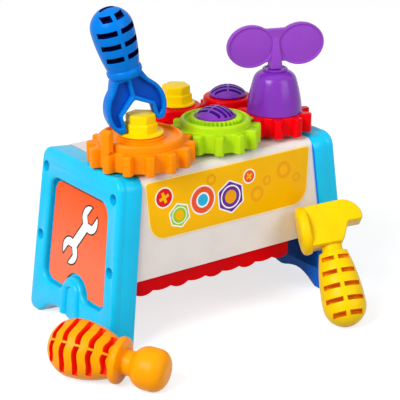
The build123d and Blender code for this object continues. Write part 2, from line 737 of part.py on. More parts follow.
def key_base():
    base = extrude(Circle(KEY_RIM_RADIUS - KEY_WALL - KEY_BASE_CLEARANCE), KEY_BASE_THICKNESS)
    drive = extrude(hexagon(KEY_DRIVE_FLATS), KEY_DRIVE_LENGTH)
    return at(RED, KEY_SEAT) * (base + Pos(0, 0, -KEY_DRIVE_LENGTH) * drive)


def key_wing():
    upright = Plane((0, 0, 0), x_dir=(1, 0, 0), z_dir=(0, -1, 0))
    lobes = Pos(0, WING_HEIGHT) * Rectangle(2 * WING_LOBE_OFFSET, WING_BRIDGE_HEIGHT)
    for side in (-1, 1):
        lobe = Ellipse(WING_LOBE_LENGTH / 2, WING_LOBE_HEIGHT / 2)
        lobes += Pos(side * WING_LOBE_OFFSET, WING_HEIGHT) * lobe
    lobes = fillet(lobes.vertices(), WING_SADDLE_RADIUS)
    wing = extrude(upright * lobes, WING_THICKNESS / 2, both=True)
    for side in (-1, 1):
        for face in (-1, 1):
            sunk = Ellipse(WING_LOBE_LENGTH / 2 - WING_RIM, WING_LOBE_HEIGHT / 2 - WING_RIM)
            sunk = Pos(side * WING_LOBE_OFFSET, WING_HEIGHT) * sunk
            plane = upright.offset(face * WING_THICKNESS / 2)
            wing -= extrude(plane * sunk, -face * WING_SUNK)
    stem_foot = KEY_BELL_HEIGHT + KEY_RING_HEIGHT
    foot = Plane.XY.offset(stem_foot) * Rectangle(STEM_FOOT_WIDTH, STEM_FOOT_WIDTH)
    head = Plane.XY.offset(STEM_TOP) * Rectangle(STEM_HEAD_WIDTH, WING_THICKNESS + WING_SUNK)
    wing += loft([foot, head])
    return at(RED, KEY_SEAT) * Rot(0, 0, WING_BEARING) * wing


# Loose tools

def neck_bend(length, radius, neck_radius):
    # radius of the arc from a grip's belly to its neck
    belly = length - radius
    return ((radius - neck_radius) ** 2 + belly**2) / (2 * (radius - neck_radius))


def egg_grip(length, radius, neck_radius, rows, pitch, slot_height, roll=0):
    # stands on its neck at the origin; the slots are cored from both sides down to a middle web
    belly = length - radius
    edges = [Line((0, 0), (neck_radius, 0))]
    edges.append(TangentArc((radius, belly), (neck_radius, 0), tangent=(0, -1)))
    edges.append(TangentArc((radius, belly), (0, length), tangent=(0, 1)))
    edges.append(Line((0, length), (0, 0)))
    grip = revolve(Plane.XZ * make_face(edges), Axis.Z)
    bend = neck_bend(length, radius, neck_radius)
    for row in range(rows):
        z = length - (row + GRIP_FIRST_ROW) * pitch
        edge = z + slot_height / 2 if z > belly else z - slot_height / 2
        if z > belly:
            wide = sqrt(radius**2 - (edge - belly) ** 2)
        else:
            wide = radius - bend + sqrt(bend**2 - (belly - edge) ** 2)
        slot_length = wide * GRIP_SLOT_SPREAD - GRIP_SPINE_WIDTH / 2
        for side in (-1, 1):
            for face in (-1, 1):
                slot = Box(slot_length, radius, slot_height)
                x = side * (GRIP_SPINE_WIDTH + slot_length) / 2
                grip -= Pos(x, face * (GRIP_WEB + radius) / 2, z) * slot
    return Rot(0, 0, roll) * grip


# The wrench leans until the corners of the bolt's hexagon stop its jaws.
def leaning_reach(flats, rise):
    # half the width that a hexagon takes across the leaning jaws, at a height above the jaws' middle
    return flats / 2 * cos(radians(WRENCH_LEAN)) + rise * sin(radians(WRENCH_LEAN))


BOLT_TOP_RISE = BOLT_HEX_HEIGHT / 2 + BOLT_TOP_HEIGHT
JAW_REACH = max(leaning_reach(BOLT_FLATS, BOLT_HEX_HEIGHT / 2), leaning_reach(BOLT_TOP_FLATS, BOLT_TOP_RISE))
HALF_GAP = JAW_REACH + TOOL_CLEARANCE
BOLT_HEX_MIDDLE = GEAR_FLOOR + HIGH_DISC_TOP + AXIAL_PLAY + BOLT_FLANGE_HEIGHT + BOLT_HEX_HEIGHT / 2
WRENCH_PLACE = at(ORANGE, BOLT_HEX_MIDDLE) * Rot(0, 0, WRENCH_BEARING) * Rot(0, -WRENCH_LEAN, 0)


def wrench_head():
    upright = Plane((0, 0, WRENCH_LIFT), x_dir=(1, 0, 0), z_dir=(0, -1, 0))
    mouth = ((-HALF_GAP, -JAW_RADIUS), (-HALF_GAP, JAW_SHOULDER), (0, JAW_THROAT),
             (HALF_GAP, JAW_SHOULDER), (HALF_GAP, -JAW_RADIUS))
    head = Pos(0, JAW_CENTRE) * Circle(JAW_RADIUS)
    neck_half = WRENCH_NECK_WIDTH / 2
    cheek_half = WRENCH_CHEEK_WIDTH / 2
    cheeks = ((-cheek_half, JAW_CENTRE), (cheek_half, JAW_CENTRE),
              (neck_half, WRENCH_NECK_TOP), (-neck_half, WRENCH_NECK_TOP))
    head += make_face(Polyline(*cheeks, close=True))
    head -= make_face(Polyline(*mouth, close=True))
    head -= Pos(0, -JAW_RADIUS) * Rectangle(4 * JAW_RADIUS, 2 * JAW_RADIUS)
    head = fillet(head.vertices().group_by(Axis.Y)[0], JAW_TIP_ROUND)
    body = extrude(upright * head, WRENCH_THICKNESS / 2, both=True)
    sunk = Pos(0, JAW_CENTRE) * Circle(JAW_RADIUS - JAW_RIM)
    wide_mouth = offset(make_face(Polyline(*mouth, close=True)), JAW_RIM)
    sunk -= wide_mouth
    sunk -= Pos(0, JAW_CENTRE + JAW_RADIUS) * Rectangle(JAW_RIB, 2 * JAW_RADIUS)
    for face in (-1, 1):
        plane = upright.offset(face * WRENCH_THICKNESS / 2)
        body -= extrude(plane * sunk, -face * JAW_SUNK)
    return WRENCH_PLACE * body


def wrench_grip():
    grip = egg_grip(WRENCH_GRIP_LENGTH, WRENCH_GRIP_RADIUS, WRENCH_GRIP_NECK_RADIUS,
                    WRENCH_SLOT_ROWS, WRENCH_SLOT_PITCH, WRENCH_SLOT_HEIGHT)
    collar = extrude(Circle(WRENCH_COLLAR_RADIUS), WRENCH_COLLAR_HEIGHT)
    collar = fillet(collar.edges(), WRENCH_COLLAR_HEIGHT / 3)
    whole = Pos(0, 0, WRENCH_COLLAR_HEIGHT) * grip + collar
    return WRENCH_PLACE * Pos(0, 0, WRENCH_LIFT + WRENCH_NECK_TOP) * whole


HAMMER_TURN = Rot(0, 0, HAMMER_BEARING) * Rot(-HAMMER_LEAN, 0, 0) * Rot(0, -HAMMER_TILT, 0)
HEAD_HEIGHT = HAMMER_GRIP_LENGTH + HAMMER_NECK_LENGTH - HEAD_BOTTOM


def hammer_grip():
    grip = egg_grip(HAMMER_GRIP_LENGTH, HAMMER_GRIP_RADIUS, HAMMER_GRIP_TOP_RADIUS,
                    HAMMER_SLOT_ROWS, HAMMER_SLOT_PITCH, HAMMER_SLOT_HEIGHT)
    grip = Pos(0, 0, HAMMER_GRIP_LENGTH) * Rot(180, 0, 0) * grip
    return grip + Pos(0, 0, HAMMER_GRIP_LENGTH) * extrude(Circle(HAMMER_NECK_RADIUS), HAMMER_NECK_LENGTH)


def hammer_head():
    across = Plane((0, 0, HEAD_HEIGHT - HAMMER_FACE_DROP), x_dir=(0, 1, 0), z_dir=(-1, 0, 0))
    face_start = HAMMER_FACE_REACH - HAMMER_FACE_WIDTH
    striker = extrude(across.offset(face_start) * Circle(HAMMER_FACE_RADIUS), HAMMER_FACE_WIDTH)
    striker = fillet(striker.edges().filter_by(GeomType.CIRCLE), HAMMER_FACE_ROUND)
    upright = Plane((0, 0, HEAD_HEIGHT), x_dir=(1, 0, 0), z_dir=(0, -1, 0))
    tip_top = (CLAW_REACH, CLAW_UNDERSIDE + CLAW_TIP_THICKNESS)
    tip_low = (CLAW_REACH - CLAW_TIP_RAKE, CLAW_UNDERSIDE)
    crotch = (CHEEK_TOP, CLAW_UNDERSIDE)
    cheek = (CHEEK_FOOT, HEAD_BOTTOM)
    cheek_middle = ((CHEEK_FOOT + CHEEK_TOP) / 2 + CHEEK_BULGE, (HEAD_BOTTOM + CLAW_UNDERSIDE) / 2)
    back_top = (-face_start, HEAD_TOP)
    back_low = (-face_start, HEAD_BOTTOM)
    edges = [Line(back_low, cheek), ThreePointArc(cheek, cheek_middle, crotch), Line(crotch, tip_low)]
    edges.append(Line(tip_low, tip_top))
    edges.append(ThreePointArc(tip_top, (CLAW_RISE_REACH, CLAW_RISE), (CLAW_START, HEAD_TOP)))
    edges.append(Line((CLAW_START, HEAD_TOP), back_top))
    edges.append(Line(back_top, back_low))
    profile = make_face(edges)
    profile = fillet(profile.vertices(), CLAW_TIP_ROUND)
    block = extrude(upright * profile, HEAD_THICKNESS / 2, both=True)
    sides = block.faces().filter_by(Axis.Y).edges()
    return striker + fillet(sides, HEAD_EDGE_RADIUS)


def resting_hammer(neighbours):
    # stands on its grip and leans back until its head meets the bench
    head = HAMMER_TURN * hammer_head()
    grip = HAMMER_TURN * hammer_grip()
    floor = -grip.bounding_box().min.Z
    move = Pos(HAMMER_FOOT_X, -2 * FOOT_DEPTH, floor)
    gap = min((move * head).distance_to(other) for other in neighbours)
    for _ in range(4):
        move = Pos(0, gap - TOOL_CLEARANCE, 0) * move
        gap = min((move * head).distance_to(other) for other in neighbours)
    return move * head, move * grip


def screwdriver_grip():
    grip = egg_grip(DRIVER_GRIP_LENGTH, DRIVER_GRIP_RADIUS, DRIVER_GRIP_NECK_RADIUS,
                    DRIVER_SLOT_ROWS, DRIVER_SLOT_PITCH, DRIVER_SLOT_HEIGHT, DRIVER_ROLL)
    return Pos(0, 0, DRIVER_GRIP_RADIUS - DRIVER_GRIP_LENGTH) * grip


def screwdriver_tip():
    collar = extrude(Circle(DRIVER_COLLAR_RADIUS), -DRIVER_COLLAR_WIDTH)
    collar = fillet(collar.edges(), DRIVER_COLLAR_WIDTH / 3)
    ball_start = DRIVER_COLLAR_WIDTH + DRIVER_NECK_LENGTH
    neck = extrude(Circle(DRIVER_NECK_RADIUS), -ball_start - DRIVER_BALL_LENGTH / 2)
    ball = extrude(Circle(DRIVER_BALL_RADIUS), -DRIVER_BALL_LENGTH)
    ball = fillet(ball.edges().group_by(Axis.Z)[-1], DRIVER_BALL_SHOULDER)
    ball = fillet(ball.edges().group_by(Axis.Z)[0], DRIVER_BALL_CORNER)
    tip = collar + neck + Pos(0, 0, -ball_start) * ball
    return Pos(0, 0, DRIVER_GRIP_RADIUS - DRIVER_GRIP_LENGTH) * tip


def lying_driver(shape):
    # the belly of the grip and the rounded end of the ball both touch the floor
    bend = neck_bend(DRIVER_GRIP_LENGTH, DRIVER_GRIP_RADIUS, DRIVER_GRIP_NECK_RADIUS)
    beyond = bend - DRIVER_GRIP_RADIUS
    tip_length = DRIVER_COLLAR_WIDTH + DRIVER_NECK_LENGTH + DRIVER_BALL_LENGTH
    span = DRIVER_GRIP_LENGTH - DRIVER_GRIP_RADIUS + tip_length - DRIVER_BALL_CORNER
    rise = DRIVER_BALL_RADIUS - DRIVER_BALL_CORNER + beyond
    slope = asin((bend - DRIVER_BALL_CORNER) / hypot(span, rise)) - atan2(rise, span)
    turn = Rot(0, 0, DRIVER_BEARING) * Rot(0, -90 + degrees(slope), 0)
    return Pos(DRIVER_GRIP_X, DRIVER_GRIP_Y, bend - beyond * cos(slope)) * turn * shape


# Build and save

left_frame = left_end_frame()
save(left_frame, "left_end_frame")
right_frame = mirror(left_frame, Plane.YZ)
save(right_frame, "right_end_frame")
save(left_inner_cover(), "left_inner_cover")
save(mirror(left_inner_cover(), Plane.YZ), "right_inner_cover")
save(left_end_panel(), "left_end_panel")
save(Compound(children=left_frame_screws()), "left_frame_screws")
save(Compound(children=[mirror(screw, Plane.YZ) for screw in left_frame_screws()]), "right_frame_screws")

posts = {
    "front_left_post": (ORANGE, HIGH_DISC_TOP, True),
    "front_middle_post": (GREEN, HIGH_DISC_TOP, True),
    "front_right_post": (RED, TOOTH_HEIGHT - KEY_DRIVE_LENGTH - 2 * KEY_DRIVE_CLEARANCE, False),
    "back_left_post": (BACK_LEFT, LOW_DISC_TOP, True),
    "back_right_post": (BACK_RIGHT, LOW_DISC_TOP, True),
}
box_housing = housing([place for place, _, _ in posts.values()])
save(box_housing, "housing")
save(base_board(), "base_board")
label = front_label()
save(label, "front_label")
for node, (place, hub_top, bored) in posts.items():
    save(post(place, hub_top, bored), node)

save(orange_gear(), "orange_gear")
save(green_gear(), "green_gear")
save(red_gear(), "red_gear")
save(back_gear(BACK_LEFT, BACK_LEFT_TOOTH), "back_left_gear")
save(back_gear(BACK_RIGHT, BACK_RIGHT_TOOTH), "back_right_gear")
save(bolt(ORANGE, HIGH_DISC_TOP), "front_bolt")
save(bolt(BACK_LEFT, LOW_DISC_TOP), "back_bolt")
save(dome_screw(GREEN, HIGH_DISC_TOP, GREEN_DOME_BEARING), "front_dome_screw")
save(dome_screw(BACK_RIGHT, LOW_DISC_TOP, BACK_DOME_BEARING), "back_dome_screw")
save(key_bell(), "key_bell")
save(key_base(), "key_base")
save(key_wing(), "key_wing")
save(wrench_head(), "wrench_head")
save(wrench_grip(), "wrench_grip")
leaning_head, leaning_grip = resting_hammer([box_housing, label, right_frame])
save(leaning_head, "hammer_head")
save(leaning_grip, "hammer_grip")
save(lying_driver(screwdriver_grip()), "screwdriver_grip")
save(lying_driver(screwdriver_tip()), "screwdriver_tip")

for name, place in (("orange", ORANGE), ("green", GREEN), ("red", RED), ("back left", BACK_LEFT),
                    ("back right", BACK_RIGHT)):
    print(f"{name} gear axis {place[0]:.3f} {place[1]:.3f}")
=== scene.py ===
import json
from collections import namedtuple
from math import acos, asin, atan2, cos, degrees, hypot, pi, radians, sin, sqrt, tan

import bpy
from mathutils import Matrix, Vector


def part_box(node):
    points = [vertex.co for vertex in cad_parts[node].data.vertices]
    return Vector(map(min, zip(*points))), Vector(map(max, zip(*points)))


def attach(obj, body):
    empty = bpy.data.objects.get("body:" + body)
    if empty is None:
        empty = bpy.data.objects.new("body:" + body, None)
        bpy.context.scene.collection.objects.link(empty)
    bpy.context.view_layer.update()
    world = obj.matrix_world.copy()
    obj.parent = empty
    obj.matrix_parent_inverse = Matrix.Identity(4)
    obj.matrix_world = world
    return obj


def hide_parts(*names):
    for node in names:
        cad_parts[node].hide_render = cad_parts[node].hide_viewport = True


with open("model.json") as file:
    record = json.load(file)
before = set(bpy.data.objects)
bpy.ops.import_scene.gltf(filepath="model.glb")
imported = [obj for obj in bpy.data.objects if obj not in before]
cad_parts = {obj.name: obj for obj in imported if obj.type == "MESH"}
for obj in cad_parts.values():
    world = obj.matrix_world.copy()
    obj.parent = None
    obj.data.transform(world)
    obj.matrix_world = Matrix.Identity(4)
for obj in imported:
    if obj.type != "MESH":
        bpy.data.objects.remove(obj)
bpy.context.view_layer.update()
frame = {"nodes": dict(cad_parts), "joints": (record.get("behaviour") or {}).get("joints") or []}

bl_info = {
    "name": "Toy Workbench",
    "version": (1, 0, 0),
    "blender": (4, 5, 0),
    "location": "View3D > Sidebar > Toy Workbench",
    "description": "Builds the moulded pieces, prints and studio of a toy workbench",
    "category": "Object",
}

MM = 0.001
FULL_TURN = 2 * pi
SMOOTH_ANGLE = radians(35)


def linear(hex_colour):
    """sRGB hex to linear red, green and blue."""
    channels = []
    for i in (1, 3, 5):
        c = int(hex_colour[i:i + 2], 16) / 255
        channels.append(c / 12.92 if c <= 0.04045 else ((c + 0.055) / 1.055) ** 2.4)
    return channels


def colour(name, description, hex_colour):
    return bpy.props.FloatVectorProperty(
        name=name, description=description, subtype="COLOR", size=3, min=0, max=1,
        default=linear(hex_colour))


def length(name, description, millimetres):
    return bpy.props.FloatProperty(
        name=name, description=description, unit="LENGTH", subtype="DISTANCE",
        default=millimetres * MM)


class WorkbenchColours(bpy.types.PropertyGroup):
    frame: colour("Frame", "End frames", "#00C6F6")
    # Painted shade: a deeper blue stands for the shade that falls on the end frames' inside faces and
    # inner covers.
    frame_inside_shade: colour("Frame inside", "Inside faces of the end frames", "#0A74EC")
    panel: colour("Panel", "Top of the panel in the left end frame", "#FB560E")
    panel_low: colour("Panel foot", "Foot of the panel in the left end frame", "#FA7650")
    housing: colour("Housing", "Box between the end frames", "#EAE3DF")
    board: colour("Board", "Board under the housing", "#D8000C")
    label: colour("Label", "Ground of the front label", "#FFBE00")
    label_ring: colour("Label rings", "Rings printed faintly on the ground", "#F3A60C")
    label_edge: colour("Label edge", "Pale line round the label", "#FFE9A8")
    orange: colour("Orange", "Orange gear", "#FF8E00")
    green: colour("Green", "Green gear", "#B2DC14")
    red: colour("Red", "Red gears", "#EC000C")
    yellow: colour("Yellow", "Bolts", "#FFD600")
    purple: colour("Purple", "Bell and dome screws", "#7C2AB0")
    # Painted shade: a dark purple stands for the shade inside the dome screws' slots.
    dome_slot_shade: colour("Dome slots", "Inside of the dome screws' slots", "#3E1284")
    wing: colour("Wing", "Wing of the key", "#9546C2")
    wrench: colour("Wrench", "Wrench", "#0078DA")
    # Painted shade: a darker blue stands for the shade on the sunk faces inside the wrench's jaws.
    wrench_hollow_shade: colour("Wrench hollows", "Sunk faces of the wrench's head", "#004EBA")
    # Painted shade: a dark navy stands for the shade inside the wrench's slots.
    wrench_slot_shade: colour("Wrench slots", "Inside of the wrench's slots", "#000A46")
    hammer: colour("Hammer", "Hammer", "#F5CA00")
    # Painted shade: a deeper orange stands for the shade inside the hammer's slots.
    hammer_slot_shade: colour("Hammer slots", "Inside of the hammer's slots", "#F29A00")
    driver: colour("Screwdriver", "Screwdriver", "#FFA000")
    # Painted shade: a red stands for the shade inside the screwdriver's slots.
    driver_slot_shade: colour("Screwdriver slots", "Inside of the screwdriver's slots", "#FF3A00")
    print_white: colour("Print white", "White of the printed motifs", "#FFFFFF")
    print_purple: colour("Print purple", "Purple of the printed motifs", "#6A2E9C")
    print_coral: colour("Print coral", "Orange-red of the printed motifs", "#F4582C")
    print_cyan: colour("Print cyan", "Cyan of the printed motifs", "#28B8E6")
    print_lime: colour("Print lime", "Lime of the printed motifs", "#9ED028")
    print_red: colour("Print red", "Red of the printed motifs", "#E41C24")
    print_dark: colour("Print dark", "Dark lines of the printed motifs", "#3A1410")
    steel: colour("Steel", "Frame screws", "#9AA0A6")
    floor: colour("Floor", "Studio floor", "#B4B4B4")


class WorkbenchSizes(bpy.types.PropertyGroup):
    edge: length("Edge", "Rounding of the gears' edges", 1.2)
    frame_edge: length("Frame edge", "Rounding of the end frames' edges", 3.5)
    slot_edge: length("Slot edge", "Rounding at the mouths of the grip slots", 0.5)
    # A mould's grain is about 0.1 mm wide. It is drawn coarser here, so that it shows in the render.
    grain: length("Grain", "Width of the moulded texture's grains", 0.9)
    cloud: length("Cloud", "Width of the soft colour clouds in the plastic", 30.0)


def sizes():
    return bpy.context.scene.workbench_sizes


def colours():
    return bpy.context.scene.workbench_colours


# Materials

PLASTIC_IOR = 1.5
GRAIN_DEPTH = 0.2 * MM
WHITE = (1, 1, 1, 1)


def node(tree, kind, settings=(), links=()):
    """Adds a node, sets its properties and sockets, and links its inputs."""
    made = tree.nodes.new(kind)
    for name, value in dict(settings).items():
        if isinstance(name, int) or name in made.inputs:
            made.inputs[name].default_value = value
        else:
            setattr(made, name, value)
    for name, socket in dict(links).items():
        tree.links.new(socket, made.inputs[name])
    return made


def blank_material(name):
    """A material without nodes, and its node tree."""
    made = bpy.data.materials.new(name)
    made.use_nodes = True
    made.node_tree.nodes.clear()
    return made, made.node_tree


def plastic(name, shade, roughness=0.35, gloss=0.1, grain=0.05, deeper=0.92):
    """Injection-moulded ABS: an even, saturated colour under a soft gloss.
    Slow clouds of deeper colour, a roughness that wanders a little and a fine moulded grain
    keep the highlights from looking like glass."""
    found = bpy.data.materials.get(name)
    if found:
        return found
    made, tree = blank_material(name)
    place = node(tree, "ShaderNodeTexCoord").outputs["Object"]
    cloud = node(tree, "ShaderNodeTexNoise",
                 {"Scale": 1 / sizes().cloud, "Detail": 2.0}, {"Vector": place})
    ramp = node(tree, "ShaderNodeValToRGB", (), {"Fac": cloud.outputs["Fac"]})
    ramp.color_ramp.elements[0].position = 0.25
    ramp.color_ramp.elements[0].color = (*(c * deeper for c in shade), 1)
    ramp.color_ramp.elements[1].position = 0.6
    ramp.color_ramp.elements[1].color = (*shade, 1)
    wander = node(tree, "ShaderNodeMapRange",
                  {"To Min": roughness * 0.85, "To Max": roughness * 1.2},
                  {"Value": cloud.outputs["Fac"]})
    fine = node(tree, "ShaderNodeTexNoise",
                {"Scale": 1 / sizes().grain, "Detail": 1.0}, {"Vector": place})
    bump = node(tree, "ShaderNodeBump",
                {"Strength": grain, "Distance": GRAIN_DEPTH}, {"Height": fine.outputs["Fac"]})
    shader = node(tree, "ShaderNodeBsdfPrincipled",
                  {"IOR": PLASTIC_IOR, "Specular IOR Level": gloss},
                  {"Base Color": ramp.outputs["Color"], "Roughness": wander.outputs["Result"],
                   "Normal": bump.outputs["Normal"]})
    node(tree, "ShaderNodeOutputMaterial", (), {"Surface": shader.outputs["BSDF"]})
    return made


def printed_panel(name, top_shade, foot_shade, top, foot):
    """Screen-printed polystyrene sheet: the ink fades from its top to its foot under a soft gloss.
    The screen's specks break its evenness, and are drawn as coarse as the moulded grain to show."""
    made, tree = blank_material(name)
    place = node(tree, "ShaderNodeTexCoord").outputs["Object"]
    height = node(tree, "ShaderNodeSeparateXYZ", (), {"Vector": place}).outputs["Z"]
    fade = node(tree, "ShaderNodeMapRange",
                {"From Min": foot * MM, "From Max": top * MM}, {"Value": height})
    speck = node(tree, "ShaderNodeTexNoise",
                 {"Scale": 1 / sizes().grain, "Detail": 1.0}, {"Vector": place})
    uneven = node(tree, "ShaderNodeMapRange",
                  {"To Min": -0.08, "To Max": 0.08}, {"Value": speck.outputs["Fac"]})
    level = node(tree, "ShaderNodeMath", {"operation": "ADD"},
                 {0: fade.outputs["Result"], 1: uneven.outputs["Result"]})
    ramp = node(tree, "ShaderNodeValToRGB", (), {"Fac": level.outputs[0]})
    ramp.color_ramp.elements[0].color = (*foot_shade, 1)
    ramp.color_ramp.elements[1].color = (*top_shade, 1)
    shader = node(tree, "ShaderNodeBsdfPrincipled",
                  {"IOR": PLASTIC_IOR, "Specular IOR Level": 0.1, "Roughness": 0.3},
                  {"Base Color": ramp.outputs["Color"]})
    node(tree, "ShaderNodeOutputMaterial", (), {"Surface": shader.outputs["BSDF"]})
    return made


def print_ink(name, shade):
    """Offset ink under the label's film: flat and even, with the film's own soft gloss."""
    return plastic("label film " + name, shade, 0.25, grain=0.0, deeper=0.95)


def plated_steel(name, shade):
    """Plated steel: a pale grey metal, whose gloss wanders in specks as coarse as the moulded grain."""
    made, tree = blank_material(name)
    place = node(tree, "ShaderNodeTexCoord").outputs["Object"]
    fine = node(tree, "ShaderNodeTexNoise",
                {"Scale": 1 / sizes().grain, "Detail": 3.0}, {"Vector": place})
    wander = node(tree, "ShaderNodeMapRange",
                  {"To Min": 0.25, "To Max": 0.45}, {"Value": fine.outputs["Fac"]})
    shader = node(tree, "ShaderNodeBsdfPrincipled", {"Metallic": 1.0, "Base Color": (*shade, 1)},
                  {"Roughness": wander.outputs["Result"]})
    node(tree, "ShaderNodeOutputMaterial", (), {"Surface": shader.outputs["BSDF"]})
    return made


def seen_strength(tree, seen, unseen):
    """One strength where the camera looks, straight or by way of a gloss, and another as light."""
    path = node(tree, "ShaderNodeLightPath")
    direct = node(tree, "ShaderNodeMath", {"operation": "MAXIMUM"},
                  {0: path.outputs["Is Camera Ray"], 1: path.outputs["Is Glossy Ray"]})
    looks = node(tree, "ShaderNodeMath", {"operation": "MAXIMUM"},
                 {0: direct.outputs[0], 1: path.outputs["Is Transmission Ray"]})
    made = node(tree, "ShaderNodeMapRange", {"To Min": unseen, "To Max": seen},
                {"Value": looks.outputs[0]})
    return made.outputs["Result"]


def studio_paper(name, shade):
    """Matt studio paper: no gloss and a soft shadow.
    A glow shows it white to the camera, and lights nothing."""
    made, tree = blank_material(name)
    paper = node(tree, "ShaderNodeBsdfDiffuse", {"Color": (*shade, 1)})
    glow = node(tree, "ShaderNodeEmission", {"Color": WHITE},
                {"Strength": seen_strength(tree, seen=0.7, unseen=0.0)})
    both = node(tree, "ShaderNodeAddShader", (), {0: paper.outputs[0], 1: glow.outputs[0]})
    node(tree, "ShaderNodeOutputMaterial", (), {"Surface": both.outputs[0]})
    return made


# Outlines, in millimetres

def arc(cx, cy, radius, start, end, steps=12):
    """Points along an arc, angles in degrees."""
    points = []
    for i in range(steps + 1):
        a = radians(start + (end - start) * i / steps)
        points.append((cx + radius * cos(a), cy + radius * sin(a)))
    return points


def circle(radius, cx=0.0, cy=0.0, steps=64):
    return arc(cx, cy, radius, 0, 360 * (steps - 1) / steps, steps - 1)


def rounded(corners, steps=6):
    """Closed outline through corners (x, y, radius), each corner turned into an arc."""
    points = []
    count = len(corners)
    for i in range(count):
        x, y, radius = corners[i]
        if radius <= 0:
            points.append((x, y))
            continue
        here = Vector((x, y))
        back = (Vector(corners[i - 1][:2]) - here).normalized()
        on = (Vector(corners[(i + 1) % count][:2]) - here).normalized()
        half = acos(max(-1.0, min(1.0, back.dot(on)))) / 2
        reach = radius / tan(half)
        centre = here + (back + on).normalized() * (radius / sin(half))
        first = here + back * reach - centre
        last = here + on * reach - centre
        start = atan2(first.y, first.x)
        sweep = (atan2(last.y, last.x) - start + pi) % FULL_TURN - pi
        for k in range(steps + 1):
            a = start + sweep * k / steps
            points.append((centre.x + radius * cos(a), centre.y + radius * sin(a)))
    return points


def tangent_arc(start, direction, end, steps):
    """Points along the arc that leaves the start in a direction and meets the end."""
    along = Vector(direction).normalized()
    across = Vector((-along.y, along.x))
    chord = Vector(end) - Vector(start)
    radius = chord.length_squared / (2 * chord.dot(across))
    centre = Vector(start) + across * radius
    first = Vector(start) - centre
    last = Vector(end) - centre
    begin = degrees(atan2(first.y, first.x))
    sweep = -degrees(first.angle_signed(last))
    return arc(centre.x, centre.y, radius, begin, begin + sweep, steps)


def hexagon(flats, bearing=0.0, radius=2.0):
    reach = flats / sqrt(3)
    corners = []
    for i in range(6):
        a = radians(bearing + 30 + 60 * i)
        corners.append((reach * cos(a), reach * sin(a), radius))
    return rounded(corners, 4)


def plain(points):
    """Corners without rounding."""
    return [(x, y, 0) for x, y in points]


def mirrored(corners):
    """The same corners on the other side of X = 0, in reverse order."""
    return [(-x, y, radius) for x, y, radius in reversed(corners)]


# Modelling steps

def deselect():
    if bpy.context.object and bpy.context.object.mode != "OBJECT":
        bpy.ops.object.mode_set(mode="OBJECT")
    bpy.ops.object.select_all(action="DESELECT")


def choose(*objects):
    deselect()
    for o in objects:
        o.select_set(True)
    bpy.context.view_layer.objects.active = objects[0]


def edit_all(o):
    """Opens a piece in edit mode with everything selected."""
    choose(o)
    bpy.ops.object.mode_set(mode="EDIT")
    bpy.ops.mesh.select_all(action="SELECT")


def weld(o):
    edit_all(o)
    bpy.ops.mesh.remove_doubles(threshold=0.01 * MM)
    bpy.ops.mesh.normals_make_consistent(inside=False)
    bpy.ops.object.mode_set(mode="OBJECT")
    return o


def curve_object(name, loops, cyclic, dimensions):
    data = bpy.data.curves.new(name, "CURVE")
    data.dimensions = dimensions
    for loop in loops:
        spline = data.splines.new("POLY")
        spline.points.add(len(loop) - 1)
        for point, place in zip(spline.points, loop):
            spare = (0.0,) * (3 - len(place))
            point.co = (*(v * MM for v in place), *spare, 1.0)
        spline.use_cyclic_u = cyclic
    made = bpy.data.objects.new(name, data)
    bpy.context.scene.collection.objects.link(made)
    return made


def meshed(curve):
    """Turns a curve into a mesh."""
    choose(curve)
    bpy.ops.object.convert(target="MESH")
    return curve


def moulded(name, loops, low, high, edge=None):
    """A plate with rounded edges from outlines in X and Y, between two heights.
    Inner outlines are holes."""
    edge = sizes().edge / MM if edge is None else edge
    made = curve_object(name, loops, True, "2D")
    made.data.fill_mode = "BOTH"
    made.data.extrude = ((high - low) / 2 - edge) * MM
    made.data.bevel_depth = edge * MM
    made.data.bevel_resolution = 2
    made.data.offset = -edge * MM
    meshed(made)
    made.location.z = (high + low) / 2 * MM
    bpy.ops.object.transform_apply()
    return weld(made)


def turned(name, profile, steps=72, closed=False):
    """A turned piece from a profile of (radius, height)."""
    made = meshed(curve_object(name, [[(r, 0.0, z) for r, z in profile]], closed, "3D"))
    edit_all(made)
    bpy.ops.mesh.spin(steps=steps, angle=FULL_TURN, center=(0, 0, 0), axis=(0, 0, 1))
    bpy.ops.object.mode_set(mode="OBJECT")
    return weld(made)


def ease(o, width, segments=3, angle=30):
    """Rounds the edges that are sharper than an angle."""
    choose(o)
    bevel = o.modifiers.new("ease", "BEVEL")
    bevel.width = width * MM
    bevel.segments = segments
    bevel.limit_method = "ANGLE"
    bevel.angle_limit = radians(angle)
    bpy.ops.object.modifier_apply(modifier="ease")
    return o


def block(name, size, centre, edge):
    """A box with rounded edges."""
    deselect()
    bpy.ops.mesh.primitive_cube_add(size=1)
    made = bpy.context.object
    made.name = name
    made.scale = [v * MM for v in size]
    made.location = [v * MM for v in centre]
    bpy.ops.object.transform_apply()
    return ease(made, edge)


def joined(name, *objects):
    choose(*objects)
    bpy.ops.object.join()
    objects[0].name = name
    objects[0].data.name = name
    return objects[0]


def copied(o, name):
    """A copy with its own mesh."""
    choose(o)
    bpy.ops.object.duplicate(linked=False)
    made = bpy.context.object
    made.name = name
    made.data.name = name
    return made


def carve(o, cutter, edge):
    """Cuts the cutter out of a piece and eases the sharp edges."""
    choose(o)
    cut = o.modifiers.new("cut", "BOOLEAN")
    cut.operation = "DIFFERENCE"
    cut.solver = "EXACT"
    cut.object = cutter
    cut.material_mode = "TRANSFER"
    bpy.ops.object.modifier_apply(modifier="cut")
    bpy.data.objects.remove(cutter)
    return ease(o, edge, 2, 50)


def paint(o, material):
    o.data.materials.clear()
    o.data.materials.append(material)
    return o


def put(o, place):
    """Moves a piece to a place, with the place in its mesh."""
    choose(o)
    o.matrix_world = place @ o.matrix_world
    bpy.ops.object.transform_apply()
    return o


